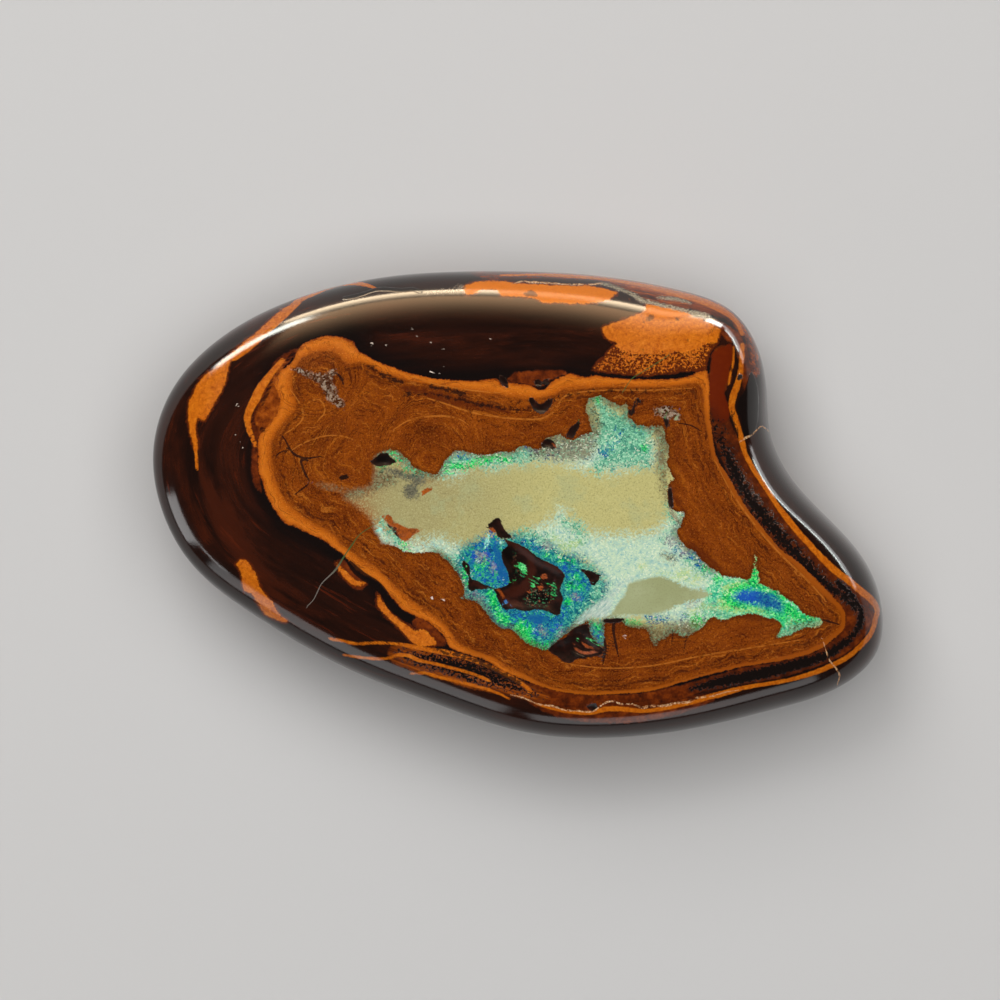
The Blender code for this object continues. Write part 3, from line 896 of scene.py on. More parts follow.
patch_shadow = rise(frayed("patch", 0.3, 0.18), -0.25, 0.0)
colour = over(colour, (96, 36, 6), patch_shadow * off_rim * 0.85)
colour = over(colour, ochre, rise(patch, -0.02, 0.12) * off_rim)
mark(
    "patch_spot",
    spots(
        (13.3, 18.7, 0.6), (13, 18.5, 0.5), (12.5, 18.2, 0.3), (15.9, 18.5, 0.45), (16.9, 16.4, 0.35),
        (12.4, 15.5, 0.3), (12.4, 15.1, 0.3), (11.1, 20.5, 0.3), (1.3, 21.1, 0.7), (0.8, 21, 0.5),
        (1.7, 20.9, 0.5),
    ),
    stroke((19.6, 17.7, 0.2), (19.3, 17.3, 0.25), (18.9, 17, 0.15)),
    stroke(
        (12.1, 12.9, 0.1), (13.7, 13.6, 0.15), (15.4, 14.4, 0.15), (17.2, 15.2, 0.15), (19.4, 15.9, 0.1),
    ),
)
colour = over(colour, (84, 44, 14), rise(depth_of("patch_spot") + grit * 0.3, -0.08, 0.1) * 0.85)
hairlines(
    "thin_vein",
    (
        (-20.9, 20.9, 0.5), (-20, 21.3, 0.5), (-19, 21.7, 0.45), (-18, 22, 0.4), (-17, 22.1, 0.4),
        (-16, 22.1, 0.4), (-15, 21.9, 0.35), (-14, 21.5, 0.2),
    ),
)
colour = over(colour, ochre, hairline("thin_vein") * 0.9)
colour = over(colour, ochre, rise(frayed("vein", 0.10, 0.06), -0.06, 0.08) * off_rim * 0.95)

# Veins and patches of the same ochre under the base. They end a little way up the sides.
base_shapes = [
    stroke(
        (-35.5, 3, 0.5), (-27, 0.5, 1.1), (-17, 3.2, 0.7), (-7, -1.2, 1.3), (4, 1.5, 0.7),
        (13, -3.2, 1.1), (23, -6.5, 0.8), (35.5, -11, 0.4),
    ),
    stroke((-20, 21.5, 0.4), (-14, 13, 0.9), (-9, 5, 0.6), (-3, -5, 1), (2, -14, 0.6), (5, -23.3, 0.4)),
    stroke((12, 22.4, 0.5), (13.5, 14, 0.8), (9, 7, 0.5), (5, 1.5, 0.8)),
    stroke((-31, -7, 0.5), (-22, -8.5, 0.9), (-12, -12.5, 0.5), (-3, -11, 0.8)),
    outline((-13, 6.5), (-8, 8), (-3.5, 5.5), (-4.5, 1), (-9, -0.5), (-13.5, 1.5)),
    outline((11, -7.5), (17.5, -6.5), (22.5, -10.5), (18.5, -15.5), (11.5, -13)),
    outline((-27, -3), (-22, -2), (-20, -5.5), (-24, -7), (-28.5, -5.5)),
]
marks["base_vein"] = np.max(base_shapes, axis=0) - BASE_FADE * height_on
base_vein = frayed("base_vein", 0.5, 0.2)
colour = over(colour, (84, 32, 6), rise(base_vein, -0.9, -0.1) * 0.8)
colour = over(colour, ochre, rise(base_vein, -0.06, 0.10))

# The opal. Milky cream potch through the middle, and round it the play of colour: mint and turquoise
# above, then blue, green and a bright tail. Its sparks are tiny flat patches, each of one colour.
mark(
    "opal",
    outline(
        (-21, 2.2), (-19.3, 2.4), (-18.1, 2.2), (-17.1, 1.8), (-15.9, 2), (-14.9, 2.3), (-14.7, 3.5),
        (-14.7, 4.4), (-14.1, 5.2), (-12.9, 5.6), (-12.1, 5.4), (-11.5, 4.9), (-10.9, 4.4), (-10.4, 3.8),
        (-9.7, 3.4), (-8.9, 3.2), (-8.3, 2.8), (-7.8, 3.4), (-7.4, 4.2), (-6.8, 4.9), (-6.2, 5.4),
        (-5.3, 5.3), (-4.4, 5.1), (-3.2, 4.9), (-2.2, 5.2), (-1.3, 5.2), (-0.5, 5.2), (0.1, 5.8),
        (0.6, 5.9), (1.2, 5.7), (2.2, 5.5), (2.7, 6.5), (3.5, 6.8), (4.2, 7), (4.7, 6.6), (5.4, 6.4),
        (5.8, 6.5), (6.3, 6.9), (7.4, 7.3), (7.1, 8), (7, 8.9), (6.7, 9.4), (6.9, 10.3), (7.3, 10.7),
        (8.2, 10.9), (8.9, 10.5), (9.5, 10.1), (10.3, 9.9), (10.9, 10.1), (10.9, 8.8), (11.3, 8.4),
        (11.9, 8), (12.9, 7.8), (14.3, 7.8), (14.6, 7.3), (14.6, 6.4), (15, 6), (15, 5.2), (14.9, 4.2),
        (15, 3.6), (15.4, 2.9), (15.6, 2.6), (15.1, 2.2), (14.9, 1.4), (15, 0.1), (15.1, -0.3),
        (15.9, -0.7), (16.7, -0.8), (16.3, -1.5), (16.2, -2.2), (15.8, -2.7), (16.2, -3.6), (16.9, -4.3),
        (17.7, -4.8), (18.4, -5.6), (19, -6.2), (19.8, -6.6), (20.4, -7.1), (21.3, -7.2), (22.3, -7.4),
        (23.3, -7.6), (24.2, -7.9), (25.1, -8.4), (25.9, -8.7), (26.6, -9.2), (27.3, -9.7), (28, -10.3),
        (28.5, -10.9), (29.4, -11.2), (30.3, -11.5), (30.1, -12.2), (28.6, -12.3), (27.3, -12.9),
        (25.7, -13.3), (26.1, -12.6), (26.3, -12), (25.9, -11.6), (24.9, -11.3), (23.9, -11),
        (22.9, -10.9), (21.8, -11.1), (20.9, -11.4), (20.3, -11.6), (19.8, -11.4), (19.4, -11),
        (18.9, -11.5), (18.5, -12.1), (17.9, -12.6), (17.2, -13), (16.6, -13.4), (15.9, -12.9),
        (15.3, -12.8), (14.6, -13.4), (14.1, -13.6), (13.7, -14.2), (13.2, -13.4), (13, -12.7),
        (12.5, -12.3), (11.7, -12.3), (10.9, -12.2), (10.5, -11.8), (9.5, -11.4), (8.6, -12),
        (8.6, -14.3), (7.9, -13.9), (7.1, -12.9), (7, -11.7), (5.5, -12.4), (4.2, -13.4), (3.5, -14),
        (2.8, -14.6), (2.1, -14.3), (1.2, -14), (0.5, -13.6), (0, -13), (-0.8, -12.4), (-1.6, -12.4),
        (-2.5, -11.7), (-3.1, -10.9), (-3.5, -10.3), (-4, -9.8), (-4.8, -9.5), (-5.9, -9.4), (-5.5, -9.1),
        (-5.4, -8.4), (-5.6, -7.6), (-6, -6.9), (-6.6, -6.1), (-7.2, -5.5), (-7.9, -4.9), (-8.7, -4.7),
        (-9.5, -4.8), (-10.3, -4.8), (-11.3, -4.7), (-12, -4.3), (-12.9, -4.1), (-13.7, -4),
        (-14.1, -3.4), (-14.5, -2.7), (-14.9, -1.9), (-15.3, -1.4), (-16, -0.7), (-16.8, -0.2),
        (-17.7, 0.4), (-17.9, 1), (-19.6, 1.3), (-20.5, 1.8),
        reach=OPAL_REACH,
    ),
    outline((23, -7.9), (23.3, -7), (23.5, -6.3), (23.7, -4.8), (23.9, -6.3), (24, -7.9)),
)
opal = frayed("opal", 0.24, 0.26)
left_end = rise(x_here, -11.5, -15.5)
milk = noise(here, 0.16, 3.0, 0.5)
potch = over((170, 160, 108), (196, 188, 122), rise(x_here + (milk - 0.5) * 14, -12.0, 6.0))
potch = over(potch, (172, 180, 134), rise(noise(here, 0.5, 3.0, 0.6), 0.5, 0.72) * 0.45)
potch = over(potch, (122, 112, 74), rise(dust, 0.50, 0.68) * 0.55)
potch = over(potch, (222, 214, 164), rise(dust, 0.45, 0.32) * 0.4)
stain = rise(depth_of("opal") + sway * 1.6, 1.8, 0.0) * rise(x_here, -6.0, -11.0)
play = over(potch, (158, 104, 58), (stain * 0.8 + left_end * 0.35) * rise(dust, 0.36, 0.56))
loose = place(x_here + sway * 0.6, y_here + drift * 0.6, z_here)
spark_red, spark_green, spark_blue = cells(loose, 7.5)
flake_red, flake_green, flake_blue = cells(loose, 3.2)
fire = noise(here, 1.2, 5.0, 0.75, 0.5) * 0.46 + spark_red * 0.40 + flake_red * 0.14
speckle = (spark_green - 0.5) * 1.1 + (noise(here, 1.3, 4.0, 0.65) - 0.5) * 1.8


def sparked(name, spread, start, end):
    """1 inside a mark and 0 outside it, with an edge that breaks up into sparks."""
    return rise(depth_of(name) + speckle * spread, start, end)


# The colours of the opal's fire, from the widest and palest to the smallest and strongest.
mark(
    "mint",
    outline(
        (4.2, -0.6), (5, -1.5), (6.2, -2.3), (7.4, -3), (10.2, -3.2), (13.5, -2.8), (14.9, -1.9),
        (16.2, -0.5), (16.6, -0.8), (16.2, -2.2), (16.2, -3.6), (17.7, -4.6), (19.8, -6.3), (22.2, -7.2),
        (20.7, -9.5), (18.2, -12.4), (12.2, -11), (10.2, -11.2), (8.2, -11.3), (7, -9.5), (8.2, -7.5),
        (6.7, -5.5), (4.2, -5.5), (2.2, -4.3), (0.2, -3.5), (1.7, -2.5), (3.4, -1.7),
    ),
    stroke((-11.3, -4.3, 1), (-9.3, -4.3, 1.2), (-7.3, -4.3, 1.4), (-5.6, -5.5, 1.6), (-4.8, -8, 1.4)),
    outline(
        (-7.8, 3.7), (-6.6, 5.1), (-2.8, 5.3), (1.2, 5.7), (4.2, 6.5), (7.2, 7.5), (12.2, 6.5),
        (13.7, 6.5), (13.7, 4.3), (12.2, 3.9), (8.2, 3.3), (4.2, 4.3), (1.2, 4.5), (-2.1, 3.8), (-4.4, 4),
        (-6.1, 3), (-7.7, 3.1),
    ),
    stroke((-13.8, -2.8, 1), (-13, -3.6, 1.1), (-11.2, -4.3, 0.8)),
)
mint_colour = shade(
    fire,
    (0.20, 136, 186, 184),
    (0.38, 176, 210, 190),
    (0.52, 194, 220, 190),
    (0.66, 206, 226, 190),
    (0.85, 228, 238, 212),
)
play = over(play, mint_colour, rise(depth_of("mint") + speckle, -0.9, 0.7))
mark(
    "glow",
    outline(
        (-7, -6.1), (-6, -4.3), (-4.2, -3.3), (-1.8, -3.1), (0.2, -2.7), (2.7, -3.3), (5.4, -4.5),
        (7.8, -6.1), (9.2, -7.9), (8.6, -9.9), (6.8, -11.5), (5.4, -12.9), (3.8, -15.7), (1.8, -15.7),
        (-1.2, -14.3), (-4, -11.9), (-6, -9.9), (-7.2, -8.3),
    ),
    outline((6.6, -11.3), (9, -11.7), (9.2, -14.7), (7.8, -14.5), (6.6, -13.1)),
)
glow_colour = shade(
    fire,
    (0.22, 10, 66, 88),
    (0.40, 22, 112, 128),
    (0.56, 46, 150, 140),
    (0.70, 96, 200, 160),
    (0.88, 190, 240, 210),
)
play = over(play, glow_colour, sparked("glow", 0.6, -0.5, 0.9))
mark(
    "tail",
    outline(
        (18.2, -9.1), (19.4, -6.9), (21.3, -6.7), (23.3, -7), (26.2, -8.2), (28.5, -9.8), (31, -11.3),
        (28.8, -13.1), (25.2, -14.1), (25.4, -12.3), (23.9, -11.9), (21.8, -11.9), (19.2, -11.9),
        (18.2, -10.7),
    ),
)
tail_colour = shade(
    fire,
    (0.22, 20, 140, 116),
    (0.42, 56, 192, 142),
    (0.60, 118, 222, 160),
    (0.84, 212, 246, 210),
)
play = over(play, tail_colour, sparked("tail", 0.6, -0.2, 0.9))
mark(
    "turquoise",
    outline(
        (7.2, 10.8), (8.4, 10.6), (8.9, 10.1), (9.6, 9.3), (10.8, 9.1), (11.3, 8.4), (13.2, 7.7),
        (13.4, 6.5), (13.2, 4.1), (11.8, 3.9), (10.2, 3.8), (8.8, 3.5), (7.4, 3.4), (8.2, 5), (7.4, 6.5),
        (7.8, 7.7), (7.6, 9),
    ),
    outline(
        (-7.7, 3.4), (-7.1, 4.4), (-6.2, 5.2), (-4.5, 5.1), (-3.2, 4.8), (-1.3, 5.1), (0.2, 5.7),
        (1.2, 5.6), (2.7, 5.3), (2.2, 4.7), (-0.2, 4.2), (-1.5, 3.9), (-3.3, 3.8), (-4.8, 4), (-5.5, 3.6),
        (-6.6, 3.1), (-7.6, 3),
    ),
    stroke((-7.8, -5.1, 0.6), (-6.6, -6.3, 0.8)),
    stroke((6.6, -6.5, 0.8), (7.6, -7.9, 1), (7.6, -9.5, 0.8), (6.4, -11.1, 0.6)),
    stroke((17.2, -5.5, 1.2), (18.7, -6.7, 1)),
    stroke((-14.1, 5, 0.5), (-12.8, 5.4, 0.5), (-11.6, 4.7, 0.6), (-10.6, 3.5, 0.6), (-9.4, 3.1, 0.4)),
    stroke((-13.4, -1.8, 0.5), (-12.6, -2.9, 0.5), (-11.6, -3.9, 0.6)),
    stroke((0.7, -3.1, 1), (1.7, -3.6, 1), (3.1, -3.5, 0.8)),
    stroke((4.4, -1.7, 0.8), (5.6, -2.3, 1.2), (6.4, -3.3, 1), (5.2, -4.1, 0.8)) - 0.2,
    stroke((15, 0.1, 0.6), (15.6, -1.1, 1), (15.8, -2.5, 1), (14.6, -3.5, 0.8)) - 0.2,
    stroke((18.2, -10.1, 0.6), (19.8, -10.7, 0.8), (21.6, -10.9, 0.6)) - 0.1,
)
turquoise_colour = shade(
    fire,
    (0.20, 24, 92, 88),
    (0.36, 66, 148, 120),
    (0.50, 102, 178, 142),
    (0.64, 132, 204, 164),
    (0.84, 204, 238, 206),
)
play = over(play, turquoise_colour, rise(depth_of("turquoise") + speckle, -0.5, 0.45) * 0.95)
mark(
    "blue",
    outline(
        (-4, -3.8), (-3.1, -3), (-2.1, -3), (-1.6, -4), (-1.5, -5.1), (-1.1, -6.1), (-0.7, -7.1),
        (-0.9, -7.9), (-1.6, -8.3), (-2.8, -8.2), (-4, -7.7), (-4.8, -7), (-5.2, -6), (-5.1, -4.8),
    ),
    outline(
        (-1.8, -10.7), (-0.6, -10.6), (0.8, -10.8), (2.4, -10.7), (4, -11.3), (4.5, -11.9), (3.7, -12.9),
        (2.8, -13.5), (1.7, -13.3), (0.2, -12.6), (-1, -11.9),
    ),
    stroke(
        (4.2, -6.1, 1), (5.4, -6.9, 1.4), (6.6, -7.8, 1.2), (5.9, -9.1, 1.2), (4.8, -10.1, 1),
        (4.2, -11.1, 0.8),
    ),
    stroke((0.8, -3.8, 0.7), (2.2, -4.4, 0.7)),
    stroke((8, -12.5, 0.8), (8.3, -13.1, 0.8), (8.5, -14.1, 0.5)),
    stroke((11.6, 8.4, 0.4), (12.4, 7.7, 0.5)),
    spots(
        (-5.7, 4.9, 0.5), (-5.1, 4.6, 0.4), (-1.8, 4.8, 0.4), (1, 5.5, 0.4), (1.8, 5.3, 0.5),
        (3.4, 5.2, 0.5), (3, 4.9, 0.4), (10.2, 7.2, 0.5), (8.6, 5.3, 0.6), (9.4, 5.9, 0.5),
    ),
    outline(
        (21.4, -9.2), (21.9, -8.7), (22.9, -8.4), (24, -8.5), (25.1, -8.8), (25.9, -9.3), (26.5, -10.1),
        (26.2, -10.6), (25, -10.4), (23.5, -10), (22.3, -9.7),
    ),
    spots(
        (26.3, -11.3, 0.8), (26.6, -10.8, 0.6), (17.3, -5, 1), (18, -6, 0.6), (14.5, -11.3, 0.8),
        (13.2, -11.5, 0.7), (16.6, -11.3, 0.6), (19.7, -9.8, 0.7), (15.8, -4.3, 0.5),
    ),
)
blue_colour = shade(
    fire,
    (0.20, 8, 40, 84),
    (0.36, 14, 82, 140),
    (0.50, 20, 112, 158),
    (0.62, 34, 140, 148),
    (0.74, 70, 184, 140),
    (0.88, 160, 232, 190),
)
blue_colour = over(blue_colour, (26, 78, 184), rise(flake_green, 0.74, 0.80) * 0.7)
green_flakes = rise(flake_blue, 0.76, 0.82) * rise(spark_blue, 0.3, 0.5)
blue_colour = over(blue_colour, (46, 176, 110), green_flakes * 0.8)
play = over(play, blue_colour, sparked("blue", 0.8, -0.35, 0.35))
mark(
    "green",
    outline(
        (20.2, -9.1), (20.6, -8.3), (21.8, -7.6), (23.3, -7.6), (24.6, -8.1), (25.8, -8.7), (27.2, -9.7),
        (28.5, -10.9), (30, -11.5), (28.2, -11.9), (27.2, -11.7), (26.5, -10.7), (25.9, -9.5), (25, -9),
        (23.4, -8.7), (22, -8.7), (21.4, -9.2), (22.2, -9.8), (23.4, -10.2), (25, -10.6), (26.2, -11),
        (26.8, -11.7), (26.1, -12.3), (26, -11.6), (24.6, -10.9), (23, -10.7), (21.2, -10.7), (20, -10.1),
    ),
    stroke((23.7, -5.3, 0.4), (23.7, -6.3, 0.8), (23.5, -7.7, 1.2)),
    stroke((-2.8, -8.7, 0.5), (-2.4, -9.7, 0.7), (-1.9, -10.8, 0.7), (-1.3, -11.6, 0.8)),
    outline(
        (-0.6, -11.7), (0.4, -11.7), (1.4, -12.2), (1.2, -12.9), (1.8, -13.5), (2.7, -14), (3.4, -13.5),
        (3, -14.5), (2, -14.3), (1, -14), (0.2, -13.3), (-0.4, -12.5),
    ),
    spots(
        (5.8, -7.3, 0.8), (5.2, -8.1, 0.6), (6.2, -8.5, 0.6), (5, -9.7, 0.8), (-5.3, -6.6, 0.5),
        (-5.1, -7.2, 0.4), (-3.4, -6.1, 0.6), (-4.2, -6.5, 0.5), (4.2, -5.5, 0.6), (-4.9, -8.1, 0.5),
        (2.8, -5, 0.4), (5.4, -5.7, 0.4),
    ),
    stroke((10.7, -11.8, 0.5), (11.4, -12, 0.6), (12.2, -11.9, 0.4)),
    stroke((17.8, -12.4, 0.8), (17.5, -11.1, 0.8), (18.5, -11.7, 0.6)),
    spots(
        (-12.4, 5.2, 0.5), (-11.5, 4.7, 0.4), (-13.5, 3.6, 0.5), (-11.2, 3.3, 0.5), (-10, 3.3, 0.4),
        (-12.2, 4.1, 0.3), (8, -12.1, 0.7), (7.4, -11.7, 0.4), (19.9, -7.3, 0.7), (18.8, -6.3, 0.5),
    ),
    stroke(
        (-7.2, 3.5, 0.5), (-6.2, 3.9, 0.7), (-5.4, 3.7, 0.5), (-4, 4.3, 0.7), (-3, 4.6, 0.6),
        (-2.1, 4.8, 0.5), (-1, 4.4, 0.6),
    ),
    spots(
        (-11.4, -4, 0.5), (-10.9, -4.4, 0.4), (7.9, 10.4, 0.5), (11.4, 9.1, 0.4), (12, 8, 0.5),
        (12.6, 5.7, 0.5),
    ),
)
green_colour = shade(
    fire,
    (0.20, 4, 92, 66),
    (0.36, 6, 156, 80),
    (0.50, 20, 204, 94),
    (0.64, 70, 232, 112),
    (0.84, 190, 250, 186),
)
play = over(play, green_colour, sparked("green", 0.6, -0.25, 0.3))
mark(
    "lilac",
    spots(
        (2.9, -4.1, 1.1), (-3.7, -5.1, 1.2), (-2.4, -6.3, 0.8), (15.2, -3.6, 1.3), (16.6, -4.7, 0.9),
        (15.8, -2.4, 0.7), (-5.9, -8.9, 0.9), (-4.4, -10.7, 0.7), (-2.6, -12.5, 0.7), (2.5, -12.6, 0.9),
        (4.2, -12.9, 0.6), (17.2, -10, 0.9), (5.7, -9.2, 0.8), (4.2, -12.4, 0.5), (18.2, -9.5, 0.8),
        (8.8, -13.5, 0.3), (-4.4, -8.9, 0.7), (-3.8, -9.5, 0.8), (-3.2, -10.5, 0.7), (13, 7.7, 0.9),
    ),
)
lilac_stops = (0.24, 96, 96, 110), (0.45, 140, 128, 138), (0.6, 172, 160, 150), (0.8, 150, 200, 180)
play = over(play, shade(fire, *lilac_stops), sparked("lilac", 0.6, -0.2, 0.4) * 0.75)
mark(
    "gold",
    spots(
        (4.6, -4.4, 1.4), (5.7, -4, 1), (16.6, -6.8, 1.5), (17.9, -7.5, 1.1), (15.3, -7.2, 1),
        (17.4, -10.7, 1), (18.6, -10.1, 0.8), (20.3, -9.7, 0.8), (14.2, -6.9, 0.8), (3.8, -3.5, 0.9),
        (-0.6, -12.8, 0.5), (12.4, -6.1, 0.9), (27.2, -11.5, 0.5),
    ),
    stroke(
        (18.8, -10, 0.7), (20.2, -10.3, 0.6), (21.8, -10.6, 0.5), (23.4, -10.6, 0.4), (24.6, -10.9, 0.3),
    ),
    stroke((20.4, -8.5, 0.6), (21.2, -8, 0.4), (22.6, -7.7, 0.3)),
)
gold_stops = (0.24, 150, 196, 130), (0.5, 190, 216, 140), (0.8, 226, 214, 150)
play = over(play, shade(fire, *gold_stops), sparked("gold", 0.7, -0.2, 0.5) * 0.75)
mark(
    "eye",
    outline(
        (21.5, -9.2), (22, -8.8), (22.9, -8.6), (24, -8.6), (25, -8.9), (25.8, -9.4), (26.4, -10.1),
        (26.1, -10.4), (25, -10.2), (23.6, -9.8), (22.4, -9.5),
    ),
)
eye_colour = shade(fire, (0.24, 14, 54, 128), (0.5, 24, 92, 156), (0.78, 36, 140, 136))
eye_colour = over(eye_colour, (30, 84, 196), rise(x_here, 24.6, 23.2) * 0.7)
play = over(play, eye_colour, sparked("eye", 0.55, -0.35, 0.35))

# A brown haze where the opal thins out over the ironstone, a ragged fringe of it all round the
# opal, and a smooth olive window and a pale veil in the lower right of the potch.
mark(
    "haze",
    outline(
        (2.3, 5.9), (3.5, 6.8), (4.7, 6.6), (6.3, 6.9), (7.4, 7.5), (7.2, 10.5), (7.8, 9.7), (8.2, 8.1),
        (7.8, 6), (7.2, 4.7), (5.2, 4.3), (3, 4.5), (1.2, 4.9),
    ),
    stroke((13.7, 7.7, 1), (14.3, 6, 1.3), (14.3, 4.2, 1.2), (14.5, 2.5, 0.8), (14.8, 0.5, 0.4)),
    stroke((8.6, 10.4, 0.5), (9.6, 9.9, 0.7), (10.6, 9.7, 0.6)),
    outline(
        (-21, 2.2), (-17.8, 2.2), (-14.8, 2.3), (-14.6, 3.7), (-13.3, 3.3), (-11.8, 2.9), (-12.8, 1.9),
        (-14.8, 1.3), (-17.3, 0.4), (-19.6, 1.3),
    ),
    outline(
        (8.6, -11.9), (10.4, -11.7), (12.2, -12.1), (14.6, -11.9), (17.2, -11.5), (18, -12.1),
        (17.2, -13.7), (14.4, -14.5), (12.8, -14.1), (10.8, -12.9),
    ),
    stroke(
        (-6.2, -9.1, 0.6), (-5, -10.3, 0.7), (-3.4, -11.9, 0.7), (-1.4, -13.5, 0.6), (0.6, -14.5, 0.4),
    ),
    stroke((30, -11.8, 0.4), (28.2, -12.1, 0.6), (27.2, -12.5, 0.6), (26, -13.1, 0.3)),
    stroke((14.6, -5.1, 0.5), (15.5, -5.5, 0.5)),
)
haze_colour = shade(
    fire + (dust - 0.5) * 0.5,
    (0.24, 58, 38, 24),
    (0.42, 96, 76, 52),
    (0.58, 134, 120, 88),
    (0.78, 84, 166, 130),
)
play = over(play, haze_colour, sparked("haze", 0.6, -0.5, 0.5) * 0.8)
mark(
    "bare_edge",
    stroke((15, 3.5, 3), (15.6, 0.5, 3), (15, -0.7, 1.6)),
    stroke((-9.8, -4.7, 2), (-11.8, -4.5, 2)),
)
fringe = sparked("opal", 0.35, 0.75, -0.05) * (1 - left_end) * (1 - rise(depth_of("tail"), -0.2, 0.4))
bright_tip = rise(depth_of("green"), -0.2, 0.0) * rise(x_here, 22.0, 23.0)
fringe = fringe * (1 - rise(depth_of("bare_edge"), -0.4, 0.4)) * (1 - bright_tip)
fringe_colour = shade(fire, (0.3, 58, 40, 24), (0.5, 104, 86, 60), (0.75, 60, 140, 108))
play = over(play, fringe_colour, fringe * 0.7)
mark(
    "olive",
    outline(
        (11.1, -7.8), (12.2, -7.5), (13.5, -7.2), (14.6, -7.2), (15.9, -7.8), (17, -8.4), (18.9, -8.6),
        (19.1, -9.1), (18.2, -9.5), (16.2, -9.9), (14.6, -10.7), (13.3, -11), (11.9, -11), (9.5, -11.1),
        (9.5, -10.6), (10.1, -9.6), (10.7, -8.7),
    ),
)
olive_colour = over((160, 165, 118), (174, 180, 136), rise(milk, 0.4, 0.6))
olive_colour = over(olive_colour, (132, 130, 88), rise(dust, 0.48, 0.68) * 0.35)
olive_depth = depth_of("olive") + sway * 0.6 + speckle * 0.35 * rise(x_here, 13.0, 16.0)
play = over(play, olive_colour, rise(olive_depth, -0.15, 0.22))
mark(
    "veil",
    stroke((8.7, -9.6, 0.3), (9.5, -8.6, 0.4), (10.4, -7.8, 0.4), (11.5, -7.3, 0.3)),
    stroke((8.8, -10.2, 0.2), (9.6, -9.1, 0.25), (10.4, -8.3, 0.2)),
    outline(
        (5.4, -12.2), (6.6, -10.7), (7.8, -9.8), (8.8, -9.4), (9.4, -9.9), (9, -10.9), (8.2, -11.3),
        (7.2, -11.4),
    ),
)
fibres = noise(place(x_here * 0.9 + y_here * 0.9, (x_here - y_here) * 4.0, 0.0), 1.0, 3.0, 0.6)
veil_colour = shade(fibres, (0.35, 150, 180, 172), (0.65, 220, 228, 214))
play = over(play, veil_colour, sparked("veil", 0.2, -0.2, 0.25) * 0.75)
pale_sparks = rise(spark_blue, 0.88, 0.95) * rise(depth_of("mint") + 0.3, 0.0, 0.4)
play = over(play, (240, 244, 214), pale_sparks * rise(depth_of("olive"), 0.05, -0.2) * 0.55)

# Clean-edged pieces of one colour: deep blue slabs and bright cyan chips.
mark(
    "slab",
    outline(
        (-2.4, -3.9), (-1.9, -4.4), (-1.6, -5.2), (-1.2, -6.3), (-0.9, -7.2), (-1.2, -7.8), (-1.8, -7.3),
        (-2.1, -6.3), (-2.4, -5.1),
    ),
    outline((1, -11.1), (2.2, -11), (3.2, -11.4), (2.2, -11.9), (1.2, -11.7)),
)
play = over(play, (20, 92, 152), sparked("slab", 0.12, -0.1, 0.12) * 0.85)
mark(
    "cyan",
    stroke((-3, -3.1, 0.4), (-3.1, -3.7, 0.5), (-3.3, -4.4, 0.3)),
    spots(
        (-1.7, -3.8, 0.5), (-1.4, -7.5, 0.35), (-1.3, -7.2, 0.2), (-4, -5.6, 0.3), (4.2, -5.5, 0.3),
        (1.6, -12.5, 0.5), (-2.1, -10.7, 0.3), (1.8, -10.7, 0.3), (27.7, -11.5, 0.4), (27.1, -11.2, 0.4),
        (28.2, -11.8, 0.3), (26.5, -9.7, 0.25), (-21, 2.8, 0.4), (-20.8, 2.3, 0.5), (-21.3, 2, 0.3),
        (-12, 4.5, 0.3), (-11, 3.4, 0.3), (-13.8, -2.5, 0.6), (-14.2, -2.8, 0.5),
    ),
    stroke((26.8, -9.5, 0.2), (27.6, -10.2, 0.25), (28.4, -11, 0.2)),
)
cyan_colour = shade(fire, (0.3, 90, 214, 196), (0.7, 210, 244, 224))
play = over(play, cyan_colour, sparked("cyan", 0.15, -0.05, 0.15))
in_opal = rise((opal + 0.03) / (0.09 + left_end * 0.9), 0.0, 1.0)
opal_shadow = rise(opal, -0.4, -0.05) * (1 - in_opal) * (1 - left_end)
colour = over(colour, (78, 30, 4), opal_shadow * 0.6)
colour = over(colour, play, in_opal)

